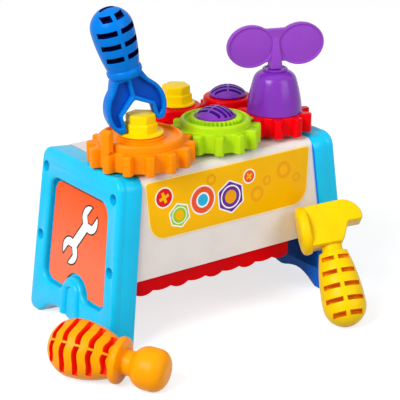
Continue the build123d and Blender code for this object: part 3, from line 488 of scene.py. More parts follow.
def settle(o, place):
    """Puts a finished piece in its place and smooths its curved faces."""
    put(o, place)
    bpy.ops.object.shade_smooth_by_angle(angle=SMOOTH_ANGLE)
    return o


def hand_over(o, body, slot, *nodes):
    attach(o, body)
    if nodes:
        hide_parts(*nodes)
    return o


def lift(x, y, z):
    return Matrix.Translation((x * MM, y * MM, z * MM))


def turn(degrees_round, axis):
    return Matrix.Rotation(radians(degrees_round), 4, axis)


def axis_of(joint_name):
    """Where a joint's upright axis stands, in millimetres along X and Y."""
    for joint in frame["joints"]:
        if joint["name"] == joint_name:
            x, y, _ = joint["pos_m"]
            return x / MM, y / MM
    raise RuntimeError(f"no joint {joint_name}")


def on_axis(joint_name, height):
    return lift(*axis_of(joint_name), height)


# Gears

MODULE = 7.2
PRESSURE = radians(20)
ADDENDUM = 4.0
DEDENDUM = 5.2
BACKLASH = 1.2
TIP_ROUND = 2.6
ROOT_ROUND = 2.4
ORANGE_TEETH = 14
GREEN_TEETH = 12
RED_TEETH = 10
BACK_TEETH = 9
ORANGE_TOOTH = radians(-113)
GEAR_FLOOR = 181.0
TOOTH_HEIGHT = 20.0
BACK_TOOTH_HEIGHT = 12.0
DISC_TOP = 28.0
DISC_OVERLAP = 4.0
ORANGE_DISC = 43.0
ORANGE_SEAT = 24.5
GREEN_DISC = 36.7
GREEN_SEAT = 22.0
DRUM_TOP = 23.0
DRUM_RADIUS = 27.0
HUB_RADIUS = 12.3
TAB_TEETH_ROUND = 2
RATCHET_POINTS = 72
RATCHET_ROOT = 23.6
RATCHET_TIP = 27.6


def meshed_tooth(teeth, tooth, joint, other_teeth, other_joint):
    """Bearing of a tooth of the other gear, when a tooth of the first lies at the given bearing."""
    x, y = axis_of(joint)
    other_x, other_y = axis_of(other_joint)
    toward = atan2(other_y - y, other_x - x)
    phase = teeth * (toward - tooth) / FULL_TURN
    return toward + pi - (0.5 - phase) * FULL_TURN / other_teeth


def tooth_outline(teeth, tooth):
    """Involute teeth with eased tips and roots."""
    pitch = MODULE * teeth / 2
    base = pitch * cos(PRESSURE)
    tip = pitch + ADDENDUM
    root = pitch - DEDENDUM
    half_tooth = (pi * MODULE / 2 - BACKLASH) / (2 * pitch)

    def half_angle(radius):
        roll = acos(min(1.0, base / radius))
        return half_tooth + tan(PRESSURE) - PRESSURE - tan(roll) + roll

    corners = []
    for i in range(teeth):
        middle = tooth + FULL_TURN * i / teeth
        flank = [root + (tip - root) * k / 3 for k in range(4)]
        side = [(r, -half_angle(r)) for r in flank] + [(r, half_angle(r)) for r in reversed(flank)]
        for radius, a in side:
            easing = TIP_ROUND if radius == tip else ROOT_ROUND if radius == root else 0
            corners.append((radius * cos(middle + a), radius * sin(middle + a), easing))
    return rounded(corners, 4)


def disc_profile(radius, low, top, seat=None, rim=4.5, sunk=3.5):
    """Raised disc with an optional ring-shaped hollow between its seat and its rim."""
    corners = [(HUB_RADIUS, low, 0), (radius, low, 0), (radius, top, 3.0)]
    if seat:
        corners += [(radius - rim, top, 1.2), (radius - rim, top - sunk, 0.8),
                    (seat, top - sunk, 0.8), (seat, top, 0.8)]
    corners.append((HUB_RADIUS, top, 0.4))
    return rounded(corners, 4)


def toothed_ring(teeth, tooth, height=TOOTH_HEIGHT):
    return moulded("teeth", [tooth_outline(teeth, tooth), circle(HUB_RADIUS)], 0, height)


def raised_disc(radius, top, seat=None, height=TOOTH_HEIGHT):
    return turned("disc", disc_profile(radius, height - DISC_OVERLAP, top, seat), 96, True)


def finger_tab():
    """Round-topped peg that stands on a tooth of the orange gear."""
    peg = rounded([(45.2, 20.1, 0.3), (54.4, 20.1, 0.3), (54.4, 44.0, 4.4), (45.2, 44.0, 4.4)])
    foot = [(45.6, 16.0), (53.6, 16.0), (53.6, 25.0), (45.6, 25.0)]
    tab = joined("tab", moulded("peg", [peg], -5.0, 5.0, 2.2), moulded("foot", [foot], -3.6, 3.6, 0.6))
    bearing = ORANGE_TOOTH - TAB_TEETH_ROUND * FULL_TURN / ORANGE_TEETH
    return put(tab, turn(degrees(bearing), "Z") @ turn(90, "X"))


def ratchet():
    """Ring of fine notches round the seat of the green gear."""
    points = []
    for i in range(RATCHET_POINTS):
        radius = RATCHET_TIP if i % 2 else RATCHET_ROOT
        a = FULL_TURN * i / RATCHET_POINTS
        points.append((radius * cos(a), radius * sin(a)))
    return moulded("ratchet", [points, circle(GREEN_SEAT - 0.1)], 22.0, 29.6, 0.3)


def finish_gear(name, material, slot, *parts):
    """Joins a gear's parts, and puts it on the axis that it turns on."""
    made = paint(joined(name + "_gear_moulded", *parts), material)
    settle(made, on_axis(name + "_spin", GEAR_FLOOR))
    return hand_over(made, name + "_gear", slot, name + "_gear")


class WORKBENCH_OT_gears(bpy.types.Operator):
    """Five meshed gears with rounded teeth"""
    bl_idname = "workbench.gears"
    bl_label = "Gears"

    def execute(self, context):
        c = colours()
        orange = plastic("orange ABS moulded", c.orange, 0.3)
        green = plastic("green ABS moulded", c.green, 0.3)
        red = plastic("red ABS moulded", c.red, 0.26, 0.07)
        green_tooth = meshed_tooth(ORANGE_TEETH, ORANGE_TOOTH, "orange_spin", GREEN_TEETH, "green_spin")
        red_tooth = meshed_tooth(GREEN_TEETH, green_tooth, "green_spin", RED_TEETH, "red_spin")
        left_tooth = meshed_tooth(GREEN_TEETH, green_tooth, "green_spin", BACK_TEETH, "back_left_spin")
        right_tooth = meshed_tooth(BACK_TEETH, left_tooth, "back_left_spin",
                                   BACK_TEETH, "back_right_spin")

        finish_gear("orange", orange, "gear_orange", toothed_ring(ORANGE_TEETH, ORANGE_TOOTH),
                    raised_disc(ORANGE_DISC, DISC_TOP, ORANGE_SEAT), finger_tab())
        finish_gear("green", green, "gear_green", toothed_ring(GREEN_TEETH, green_tooth),
                    raised_disc(GREEN_DISC, DISC_TOP, GREEN_SEAT), ratchet())
        finish_gear("red", red, "gear_red", toothed_ring(RED_TEETH, red_tooth))
        for name, tooth in (("back_left", left_tooth), ("back_right", right_tooth)):
            finish_gear(name, red, "gear_red", toothed_ring(BACK_TEETH, tooth, BACK_TOOTH_HEIGHT),
                        raised_disc(DRUM_RADIUS, DRUM_TOP, height=BACK_TOOTH_HEIGHT))
        return {"FINISHED"}


# Bolts, dome screws and key

CLEARANCE = 0.3
FRONT_SEAT = GEAR_FLOOR + DISC_TOP + CLEARANCE
BACK_SEAT = GEAR_FLOOR + DRUM_TOP + CLEARANCE
KEY_SEAT = GEAR_FLOOR + TOOTH_HEIGHT + CLEARANCE
SHANK = ((0, -19.8), (6.9, -19.8), (6.9, 0.4))
BOLT_TURN = -12.0
LOWER_FLATS = 30.2
LOWER_TOP = 12.0
UPPER_FLATS = 26.6
UPPER_TOP = 21.0
FRONT_FLANGE = 23.0
BACK_FLANGE = 20.4


class WORKBENCH_OT_bolts(bpy.types.Operator):
    """Two flanged bolts with stepped hexagon heads"""
    bl_idname = "workbench.bolts"
    bl_label = "Bolts"

    def execute(self, context):
        yellow = plastic("yellow ABS moulded", colours().yellow, 0.3)
        bolts = (("front_bolt", FRONT_SEAT, FRONT_FLANGE), ("back_bolt", BACK_SEAT, BACK_FLANGE))
        for body, seat, rim in bolts:
            flange = turned("flange", [*SHANK, (rim - 0.8, 0.4), (rim, 1.0), (rim, 1.9),
                                       (rim - 0.3, 2.6), (rim - 1.1, 3.0), (0, 3.0)])
            lower = moulded("lower", [hexagon(LOWER_FLATS, BOLT_TURN)], 0.5, LOWER_TOP, 1.1)
            upper = moulded("upper", [hexagon(UPPER_FLATS, BOLT_TURN)], 8.0, UPPER_TOP, 1.2)
            made = paint(joined(body + "_moulded", flange, lower, upper), yellow)
            settle(made, on_axis(body + "_turn", seat))
            hand_over(made, body, "bolt_yellow", body)
        return {"FINISHED"}


DOME_RADIUS = 20.5
DOME_RIM = 2.5
DOME_RISE = 9.0
DOME_BALL = (DOME_RADIUS**2 + DOME_RISE**2) / (2 * DOME_RISE)
DOME_STEPS = 16
DOME_SLOT_REACH = DOME_RADIUS - 1.0
DOME_SLOT_ROWS = 5
DOME_SLOT_PITCH = 6.0
DOME_SLOT_WIDTH = 3.4
DOME_SLOT_DEPTH = 12.0
HALF_RIB = 1.1


def dome_height(radius):
    """Height of the dome at a distance from its axis."""
    return DOME_RIM + DOME_RISE - DOME_BALL + sqrt(DOME_BALL**2 - radius**2)


def dome():
    profile = [*SHANK, (DOME_RADIUS - 0.6, 0.4), (DOME_RADIUS, 1.0), (DOME_RADIUS, DOME_RIM - 0.6),
               (DOME_RADIUS - 0.5, DOME_RIM)]
    for i in range(1, DOME_STEPS + 1):
        radius = (DOME_RADIUS - 2.2) * (1 - i / DOME_STEPS)
        profile.append((radius, dome_height(radius)))
    return turned("dome", profile)


def dome_slots():
    """Rows of slots either side of the rib, down to about the height of the rim."""
    floor = dome_height(DOME_SLOT_REACH) - 1.2
    slots = []
    for row in range(DOME_SLOT_ROWS):
        along = (row - (DOME_SLOT_ROWS - 1) / 2) * DOME_SLOT_PITCH
        reach = sqrt(DOME_SLOT_REACH**2 - (abs(along) + 1.6)**2) - HALF_RIB
        for side in (-1, 1):
            centre = (along, side * (HALF_RIB + reach / 2), floor + DOME_SLOT_DEPTH / 2)
            slots.append(block("slot", (DOME_SLOT_WIDTH, reach, DOME_SLOT_DEPTH), centre, 0.4))
    return joined("slots", *slots)


class WORKBENCH_OT_dome_screws(bpy.types.Operator):
    """Two domed screws with a rib and slots"""
    bl_idname = "workbench.dome_screws"
    bl_label = "Dome screws"

    def execute(self, context):
        purple = plastic("purple ABS moulded", colours().purple, 0.2, 0.3)
        # Painted shade: the slots' insides take the dark purple.
        slot_shade = plastic("purple ABS in shadow", colours().dome_slot_shade, 0.5)
        model = carve(paint(dome(), purple), paint(dome_slots(), slot_shade), 0.3)
        for side, seat, bearing in (("front", FRONT_SEAT, 20.0), ("back", BACK_SEAT, 54.3)):
            body = side + "_dome_screw"
            made = copied(model, body + "_moulded")
            settle(made, on_axis(side + "_dome_turn", seat) @ turn(bearing, "Z"))
            hand_over(made, body, "key_purple", body)
        bpy.data.objects.remove(model)
        return {"FINISHED"}


BELL_RIM = 29.4
BELL_SHOULDER = 23.0
BELL_RISE = 35.0
LOBE_LONG = 26.0
LOBE_TALL = 22.5
LOBE_OFFSET = 27.2
LOBE_HEIGHT = 71.5
BRIDGE_HALF = 17.5
WING_BEARING = -19.0


def key_bell():
    profile = [(BELL_RIM - 2.4, 0.0), (BELL_RIM - 0.6, 0.0), (BELL_RIM, 0.6)]
    for i in range(1, 10):
        share = i / 10
        profile.append((BELL_RIM - 2.4 * share - 4.0 * share**2, BELL_RISE * share))
    profile += tangent_arc((BELL_SHOULDER, BELL_RISE), (-10.4, BELL_RISE), (13.5, 44.0), 14)
    profile += [(12.8, 44.2), (13.2, 44.6), (13.5, 45.4), (13.3, 46.3), (12.6, 46.9), (11.8, 47.0),
                (10.4, 46.5), (9.9, 45.8), (0.0, 45.8)]
    return turned("key_bell_moulded", profile, 96)


def wing_lobe(side, shrink, start=0, end=355, steps=71):
    """Corners along the oval of one side of the wing, angles in degrees."""
    corners = []
    for x, y in arc(0, 0, 1, start, end, steps):
        corners.append((side * LOBE_OFFSET + (LOBE_LONG - shrink) * x,
                        LOBE_HEIGHT + (LOBE_TALL - shrink) * y, 0))
    return corners


def key_wing():
    """Two ovals with raised rims, joined by a bridge on a tapered stem."""
    meeting = degrees(asin(BRIDGE_HALF / LOBE_TALL))
    saddle = LOBE_OFFSET - LOBE_LONG * cos(radians(meeting))
    outline = wing_lobe(-1, 0, meeting + 9, 351 - meeting, 48)
    outline += [(-saddle, LOBE_HEIGHT - BRIDGE_HALF, 8.0), (saddle, LOBE_HEIGHT - BRIDGE_HALF, 8.0)]
    outline += wing_lobe(1, 0, meeting + 189, 531 - meeting, 48)
    outline += [(saddle, LOBE_HEIGHT + BRIDGE_HALF, 8.0), (-saddle, LOBE_HEIGHT + BRIDGE_HALF, 8.0)]
    holes = [rounded(wing_lobe(side, 2.5)) for side in (-1, 1)]
    rim = moulded("rim", [rounded(outline), *holes], -3.0, 3.0, 1.0)
    web = moulded("web", [rounded(wing_lobe(side, 1.5)) for side in (-1, 1)], -1.8, 1.8, 0.3)
    wing = put(joined("wing", rim, web), turn(90, "X"))
    deselect()
    bpy.ops.mesh.primitive_cone_add(vertices=4, radius1=9.6 * MM, radius2=3.6 * MM, depth=38.0 * MM,
                                    location=(0, 0, 65.5 * MM), rotation=(0, 0, radians(45)))
    stem = bpy.context.object
    bpy.ops.object.transform_apply()
    return joined("key_wing_moulded", wing, ease(stem, 1.2))


class WORKBENCH_OT_key(bpy.types.Operator):
    """Winged key: bell and wing"""
    bl_idname = "workbench.key"
    bl_label = "Key"

    def execute(self, context):
        purple = plastic("purple ABS moulded", colours().purple, 0.2, 0.3)
        wing_purple = plastic("purple ABS wing", colours().wing, 0.32)
        seat = on_axis("red_spin", KEY_SEAT)
        bell = settle(paint(key_bell(), purple), seat)
        hand_over(bell, "key", "key_purple", "key_bell")
        wing = settle(paint(key_wing(), wing_purple), seat @ turn(WING_BEARING, "Z"))
        hand_over(wing, "key", "key_purple", "key_wing")
        return {"FINISHED"}


# Tools

# A grip's length from its neck to its round end, and the radii of its belly and neck.
Grip = namedtuple("Grip", "length belly neck")

# How many rows of slots, the drop from the round end to the first, their pitch and height, half the spine
# between them, the share of the grip's half width that they reach, their floor's distance from the middle,
# the swing of a wavy slot, and half the length of the slot across the round end.
Slots = namedtuple("Slots", "rows first pitch height spine spread floor wave crown")

WRENCH_GRIP = Grip(length=62.5, belly=21.5, neck=16.4)
WRENCH_SLOTS = Slots(rows=4, first=7.0, pitch=13.7, height=5.4, spine=2.0, spread=0.9, floor=3.0,
                     wave=0.0, crown=7.5)
HAMMER_GRIP = Grip(length=79.0, belly=22.8, neck=15.0)
HAMMER_SLOTS = Slots(rows=5, first=11.2, pitch=15.0, height=5.0, spine=2.0, spread=0.86, floor=6.6,
                     wave=0.0, crown=6.5)
DRIVER_GRIP = Grip(length=71.0, belly=29.0, neck=18.6)
DRIVER_SLOTS = Slots(rows=5, first=12.4, pitch=13.5, height=5.6, spine=1.1, spread=0.95, floor=8.0,
                     wave=1.1, crown=0.0)
SLOT_STEPS = 12
CROWN_DEPTH = 3.2
OVERSHOOT = 2.0


def neck_bend(grip):
    """Radius of the arc from a grip's belly to its neck."""
    rise = grip.length - grip.belly
    narrowing = grip.belly - grip.neck
    return (narrowing**2 + rise**2) / (2 * narrowing)


def grip_radius(grip, z):
    """Radius of an egg-shaped grip at a height over its neck."""
    rise = grip.length - grip.belly
    if z > rise:
        return sqrt(max(0.0, grip.belly**2 - (z - rise)**2))
    bend = neck_bend(grip)
    return grip.belly - bend + sqrt(bend**2 - (rise - z)**2)


def grip_profile(grip):
    rise = grip.length - grip.belly
    points = [(0, 0)]
    for i in range(13):
        points.append((grip_radius(grip, rise * i / 12), rise * i / 12))
    return points + arc(0, rise, grip.belly, 0, 90, 16)[1:]


def grip_slots(grip, slots):
    """Cutters for the slots either side of the spine, on both faces, and across the round end."""
    half = slots.height / 2
    beyond = grip.belly + OVERSHOOT
    cutters = []
    for row in range(slots.rows):
        z = grip.length - slots.first - row * slots.pitch
        wide = min(grip_radius(grip, z - half), grip_radius(grip, z + half))
        lower = []
        for i in range(SLOT_STEPS + 1):
            share = i / SLOT_STEPS
            x = slots.spine + (wide * slots.spread - slots.spine) * share
            lower.append((x, z - half + slots.wave * sin(FULL_TURN * share)))
        right = lower + [(x, y + slots.height) for x, y in reversed(lower)]
        left = [(-x, y) for x, y in reversed(right)]
        for outline in (right, left):
            for low, high in ((slots.floor, beyond), (-beyond, -slots.floor)):
                cutters.append(moulded("slot", [outline], low, high, 0.1))
    if slots.crown > 0:
        low = grip.length - CROWN_DEPTH
        high = grip.length + OVERSHOOT
        top = [(-slots.crown, low), (slots.crown, low), (slots.crown, high), (-slots.crown, high)]
        cutters.append(moulded("slot", [top], -half, half, 0.1))
    return put(joined("slots", *cutters), turn(90, "X"))


def slotted_grip(name, grip, slots, material, slot_shade):
    """Egg-shaped grip that stands on its neck, with slots painted a deeper colour for the shade in them.
    """
    made = paint(turned(name, grip_profile(grip), 96), material)
    return carve(made, paint(grip_slots(grip, slots), slot_shade), sizes().slot_edge / MM)


WRENCH_STAND = 216.8
WRENCH_LEAN = -15.5
JAW_HALF_GAP = 16.72
JAW_CENTRE = 20.0
JAW_RADIUS = 31.5
JAW_LIFT = 2.0
WEB_SCALE = 0.97
WEB_CENTRE = 28.0
COLLAR_FOOT = 57.5
COLLAR_HEIGHT = 8.0


def wrench_outline():
    """Open jaws round a hexagon, under shoulders that run up to the grip."""
    outer = arc(0, JAW_CENTRE, JAW_RADIUS, 4 - degrees(asin(JAW_CENTRE / JAW_RADIUS)), 50, 24)
    tip = sqrt(JAW_RADIUS**2 - JAW_CENTRE**2)
    right = [(15.5, 55.5, 0), *plain(reversed(outer)), (tip, 0.0, 3.0), (JAW_HALF_GAP, 0.0, 3.2),
             (JAW_HALF_GAP, 17.0, 2.0)]
    return rounded([*right, (0.0, 29.0, 3.0), *mirrored(right)])


def wrench_pocket(side):
    """Hollow in one jaw, inside its rim."""
    inner = [(JAW_HALF_GAP + 3.0, 5.0, 1.0), (JAW_HALF_GAP + 3.0, 18.6, 1.5), (1.8, 33.4, 1.2),
             (1.8, 50.5, 1.2), (11.6, 50.5, 1.5)]
    inner += plain(arc(0, JAW_CENTRE, JAW_RADIUS - 3.8, 49, -25, 14))
    return rounded([(side * x, y, radius) for x, y, radius in inner])


class WORKBENCH_OT_wrench(bpy.types.Operator):
    """Open wrench that stands on the front bolt"""
    bl_idname = "workbench.wrench"
    bl_label = "Wrench"

    def execute(self, context):
        c = colours()
        blue = plastic("blue ABS moulded", c.wrench, 0.22, 0.06)
        # Painted shade: the insides of the grip's slots take a dark navy.
        slot_shade = plastic("blue ABS in shadow", c.wrench_slot_shade, 0.5)
        # Painted shade: the sunk faces of the head take a darker blue.
        hollow = plastic("blue ABS hollow in shadow", c.wrench_hollow_shade, 0.45)
        stand = on_axis("front_bolt_turn", WRENCH_STAND)
        place = stand @ turn(BOLT_TURN, "Z") @ turn(WRENCH_LEAN, "Y")
        outline = wrench_outline()
        ring = moulded("ring", [outline, wrench_pocket(-1), wrench_pocket(1)], -7.5, 7.5, 1.3)
        shrunk = [(x * WEB_SCALE, WEB_CENTRE + (y - WEB_CENTRE) * WEB_SCALE) for x, y in outline]
        web = moulded("web", [shrunk], -2.0, 2.0, 0.4)
        # Painted shade: the sunk web between the rims takes the darker blue.
        head = joined("wrench_head_moulded", paint(ring, blue), paint(web, hollow))
        settle(head, place @ lift(0, 0, JAW_LIFT) @ turn(90, "X"))
        hand_over(head, "wrench", "tool_blue", "wrench_head")

        grip = slotted_grip("wrench_grip_moulded", WRENCH_GRIP, WRENCH_SLOTS, blue, slot_shade)
        put(grip, lift(0, 0, COLLAR_HEIGHT))
        collar = turned("collar", [(0, 0), (15.2, 0), (17.1, 0.8), (17.9, 2.6), (17.9, 5.4),
                                   (17.1, 7.3), (16.4, 8.2), (0, 8.2)])
        made = joined("wrench_grip_moulded", grip, paint(collar, blue))
        settle(made, place @ lift(0, 0, COLLAR_FOOT))
        hand_over(made, "wrench", "tool_blue", "wrench_grip")
        return {"FINISHED"}


HAMMER_BEARING = -35.7
HAMMER_LEAN = -34.0
HAMMER_ROLL = -11.0
HEAD_CENTRE = 107.5
STRIKER_FORWARD = 1.2
STRIKER_DROP = 0.4


def hammer_place():
    """Where the hammer leans: its round end rests at the low corner of its grip's box."""
    lean = turn(HAMMER_BEARING, "Z") @ turn(HAMMER_LEAN, "X") @ turn(HAMMER_ROLL, "Y")
    foot = HAMMER_GRIP.belly
    middle = lean @ Vector((0, 0, foot))
    low_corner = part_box("hammer_grip")[0]
    return lift(*(low / MM + foot - m for low, m in zip(low_corner, middle))) @ lean


def hammer_head():
    """Block with a hooked claw and a round striker."""
    striker = turned("striker", [(0, 19.5), (21.5, 19.8), (24.0, 20.9), (25.2, 23.0), (25.5, 25.5),
                                 (25.2, 28.0), (24.0, 29.8), (21.8, 30.8), (19.0, 31.0), (0, 31.0)], 80)
    put(striker, lift(0, -STRIKER_FORWARD, HEAD_CENTRE - STRIKER_DROP) @ turn(-90, "Y"))
    corners = [(-22.0, -20.5, 0), (11.5, -20.5, 3.0)]
    for i in range(1, 6):
        corners.append((11.5 + 9.0 * (i / 6)**0.8, -20.5 + 19.5 * i / 6, 0))
    corners += [(20.5, -1.0, 3.0), (36.2, -1.0, 2.3), (37.0, 4.5, 2.3)]
    for bearing in range(14, 90, 8):
        a = radians(bearing)
        corners.append((15 + 22 * cos(a), 2.0 + 21.4 * sin(a), 0))
    corners += [(13.0, 23.4, 0), (-22.0, 22.4, 0)]
    head = moulded("head", [rounded(corners)], -16.0, 16.0, 2.4)
    put(head, lift(0, 0, HEAD_CENTRE) @ turn(90, "X"))
    return joined("hammer_head_moulded", head, striker)


class WORKBENCH_OT_hammer(bpy.types.Operator):
    """Claw hammer that leans on the front wall"""
    bl_idname = "workbench.hammer"
    bl_label = "Hammer"

    def execute(self, context):
        c = colours()
        yellow = plastic("lemon ABS moulded", c.hammer, 0.32)
        # Painted shade: the insides of the grip's slots take a deeper orange.
        slot_shade = plastic("lemon ABS in shadow", c.hammer_slot_shade, 0.5)
        place = hammer_place()
        head = settle(paint(hammer_head(), yellow), place)
        hand_over(head, "hammer", "tool_yellow", "hammer_head")

        grip = slotted_grip("hammer_grip_moulded", HAMMER_GRIP, HAMMER_SLOTS, yellow, slot_shade)
        neck = turned("neck", [(0, 1.0), (14.0, 1.0), (11.4, -1.0), (10.8, -2.6), (10.8, -8.0),
                               (0, -8.0)], 64)
        made = joined("hammer_grip_moulded", grip, paint(neck, yellow))
        settle(made, place @ lift(0, 0, HAMMER_GRIP.length) @ turn(180, "X"))
        hand_over(made, "hammer", "tool_yellow", "hammer_grip")
        return {"FINISHED"}


DRIVER_X = -200.3
DRIVER_Y = -93.7
DRIVER_BEARING = -58.3
DRIVER_ROLL = 35.0
BALL_RADIUS = 21.2
BALL_CORNER = 13.0
TIP_LENGTH = 53.9


def driver_place():
    """Where the screwdriver lies: its belly and the corner of its ball both touch the floor."""
    bend = neck_bend(DRIVER_GRIP)
    beyond = bend - DRIVER_GRIP.belly
    span = DRIVER_GRIP.length - DRIVER_GRIP.belly + TIP_LENGTH - BALL_CORNER
    rise = BALL_RADIUS - BALL_CORNER + beyond
    slope = asin((bend - BALL_CORNER) / hypot(span, rise)) - atan2(rise, span)
    place = lift(DRIVER_X, DRIVER_Y, bend - beyond * cos(slope)) @ turn(DRIVER_BEARING, "Z")
    return place @ turn(degrees(slope) - 90, "Y") @ lift(0, 0, DRIVER_GRIP.belly - DRIVER_GRIP.length)


class WORKBENCH_OT_screwdriver(bpy.types.Operator):
    """Ball-ended screwdriver that lies on the floor"""
    bl_idname = "workbench.screwdriver"
    bl_label = "Screwdriver"

    def execute(self, context):
        c = colours()
        orange = plastic("amber ABS moulded", c.driver, 0.3)
        # Painted shade: the insides of the grip's slots take a red.
        slot_shade = plastic("amber ABS in shadow", c.driver_slot_shade, 0.5)
        place = driver_place()
        grip = slotted_grip("screwdriver_grip_moulded", DRIVER_GRIP, DRIVER_SLOTS, orange, slot_shade)
        settle(grip, place @ turn(DRIVER_ROLL, "Z"))
        hand_over(grip, "screwdriver", "tool_orange", "screwdriver_grip")

        profile = [(0, 0.0), (20.6, 0.0), (22.6, -0.8), (23.5, -2.6), (23.5, -5.4), (22.6, -7.2),
                   (20.6, -8.0), (13.8, -8.2), (12.5, -9.4), (12.5, -17.4)]
        profile += arc(4.2, -33.4, 17.0, 60, 0, 14)
        profile += arc(BALL_RADIUS - BALL_CORNER, BALL_CORNER - TIP_LENGTH, BALL_CORNER, 0, -90, 14)
        profile += [(0, -TIP_LENGTH)]
        tip = paint(turned("screwdriver_tip_moulded", profile, 80), orange)
        hand_over(settle(tip, place), "screwdriver", "tool_orange", "screwdriver_tip")
        return {"FINISHED"}


# Bench

BENCH_HEIGHT = 180.0
FOOT_HALF_LENGTH = 154.5
FOOT_HALF_DEPTH = 80.0
DEPTH_TAPER = 7.4
END_LEAN = atan2(20.0, BENCH_HEIGHT)
SLOPE = BENCH_HEIGHT / cos(END_LEAN)
RECESS_LOW = 38.0
RECESS_HIGH = 152.0
RECESS_INSET = 20.0
SCREW_HEIGHTS = (85.0, 160.0)
SCREW_INSET = 10.0
BORE_RADIUS = 5.6
FACE_DEPTH = 8.6
INSIDE_DEPTH = 27.0
BACK_DEPTH = 27.7


def end_place():
    """From drawing axes on the left end's sloping face to the bench.
    X runs to the front, Y up the face and Z out of it."""
    return Matrix(((0, sin(END_LEAN), -cos(END_LEAN), -FOOT_HALF_LENGTH * MM), (-1, 0, 0, 0),
                   (0, cos(END_LEAN), sin(END_LEAN), 0), (0, 0, 0, 1)))


def frame_half(height, inset=0.0):
    """Half the frame's width at a height up its slope."""
    return FOOT_HALF_DEPTH - DEPTH_TAPER * height / SLOPE - inset


def frame_outline():
    """Trapezium with an arch between its feet, whose top dips under the spout."""
    arch = plain([(62, 0), (57.5, 2.8), (52.5, 6.4), (47, 10.6), (41, 13.9), (34, 16.2), (27, 16.8),
                  (20, 15.9), (14, 14.6), (7.0, 12.3)])
    top = frame_half(SLOPE)
    outer = [(-FOOT_HALF_DEPTH, 0, 9.0), (-top, SLOPE, 14.0), (top, SLOPE, 14.0),
             (FOOT_HALF_DEPTH, 0, 9.0)]
    return rounded([*arch, (0.0, 11.0, 0), *mirrored(arch), *outer], 8)


def recess_outline():
    """Trapezium with rounded corners, over the round top of the spout."""
    left = [(-frame_half(RECESS_HIGH, RECESS_INSET), RECESS_HIGH, 14.0),
            (-frame_half(RECESS_LOW, RECESS_INSET), RECESS_LOW, 14.0), (-26.0, RECESS_LOW, 4.0)]
    return rounded([*left, *plain(arc(0, 39.0, 19.0, 165, 15, 16)), *mirrored(left)], 8)


def spout_ridge():
    """Rounded ridge that runs up, over and down in front of the recess."""
    path = [(-12.6, 16.0), *arc(0, 40.0, 11.5, 180, 0, 20), (12.6, 16.0)]
    ridge = curve_object("ridge", [[(x, y, -1.2) for x, y in path]], False, "3D")
    ridge.data.bevel_depth = 4.6 * MM
    ridge.data.bevel_resolution = 4
    ridge.data.use_fill_caps = True
    return weld(meshed(ridge))


def end_frame(cyan, inside):
    """An end frame on its drawing axes, with painted shade: a deeper blue on its inside faces."""
    edge = sizes().frame_edge / MM
    outline = frame_outline()
    bores = []
    for height in SCREW_HEIGHTS:
        for side in (-1, 1):
            bores.append(circle(BORE_RADIUS, side * frame_half(height, SCREW_INSET), height, 32))
    face = moulded("face", [outline, recess_outline()], -FACE_DEPTH - edge, 0, edge)
    carve(face, moulded("bores", bores, -16.0, 4.0, 0.1), 0.5)
    back = moulded("back", [outline], -BACK_DEPTH, 0.1 - FACE_DEPTH, 1.0)
    made = paint(joined("end_frame", face, back, spout_ridge()), cyan)
    # Painted shade: faces that lie deeper in the frame than INSIDE_DEPTH take the deeper blue.
    made.data.materials.append(inside)
    for polygon in made.data.polygons:
        polygon.material_index = 1 if polygon.center.z < -INSIDE_DEPTH * MM else 0
    return made


class WORKBENCH_OT_end_frames(bpy.types.Operator):
    """Two splayed end frames with bevelled recesses"""
    bl_idname = "workbench.end_frames"
    bl_label = "End frames"

    def execute(self, context):
        c = colours()
        cyan = plastic("cyan ABS moulded", c.frame, 0.24, 0.22)
        inside = plastic("blue ABS inside in shadow", c.frame_inside_shade, 0.4)
        model = end_frame(cyan, inside)
        mirror = Matrix.Scale(-1, 4, (1, 0, 0))
        places = {"left_end_frame": end_place(), "right_end_frame": mirror @ end_place()}
        for node_name, place in places.items():
            made = weld(put(copied(model, node_name + "_moulded"), place))
            edit_all(made)
            bpy.ops.mesh.bisect(plane_co=(0, 0, 0), plane_no=(0, 0, 1), use_fill=True, clear_inner=True)
            bpy.ops.object.mode_set(mode="OBJECT")
            hand_over(settle(made, Matrix()), "bench", "frame_cyan", node_name)
        bpy.data.objects.remove(model)
        return {"FINISHED"}


class WORKBENCH_OT_bench_finish(bpy.types.Operator):
    """Finishes of the pieces that keep their CAD shape"""
    bl_idname = "workbench.bench_finish"
    bl_label = "Bench finish"

    def execute(self, context):
        c = colours()
        white = plastic("white ABS moulded", c.housing, 0.35, deeper=0.94)
        red = plastic("red ABS board", c.board, 0.3, 0.05)
        coral = printed_panel("coral printed polystyrene", c.panel, c.panel_low, top=150.0, foot=75.0)
        inside = plastic("blue ABS inside in shadow", c.frame_inside_shade, 0.4)
        purple = plastic("purple ABS moulded", c.purple, 0.2, 0.3)
        steel = plated_steel("plated steel screws", c.steel)
        finishes = {
            "housing": white,
            "base_board": red,
            "left_end_panel": coral,
            # Painted shade: the inner covers take the deeper blue of the frames' shaded insides.
            "left_inner_cover": inside,
            "right_inner_cover": inside,
            "key_base": purple,
            "left_frame_screws": steel,
            "right_frame_screws": steel,
        }
        for post in ("front_left", "front_middle", "front_right", "back_left", "back_right"):
            finishes[post + "_post"] = white
        for name, material in finishes.items():
            paint(frame["nodes"][name], material)
        return {"FINISHED"}


# Prints

WALL_LEAN = atan2(4.374, 106.4)
WALL_FOOT = 77.0
LABEL_LOW = 108.6
LABEL_HIGH = 171.6
LABEL_HALF_LOW = 99.5
LABEL_HALF_HIGH = 104.5
INK_FLOOR = 0.68
INK_THICKNESS = 0.03
PANEL_MIDDLE = 103.0
PANEL_SUNK = 6.0
SPANNER_REACH = 27.0
SPANNER_BEARING = 52.0


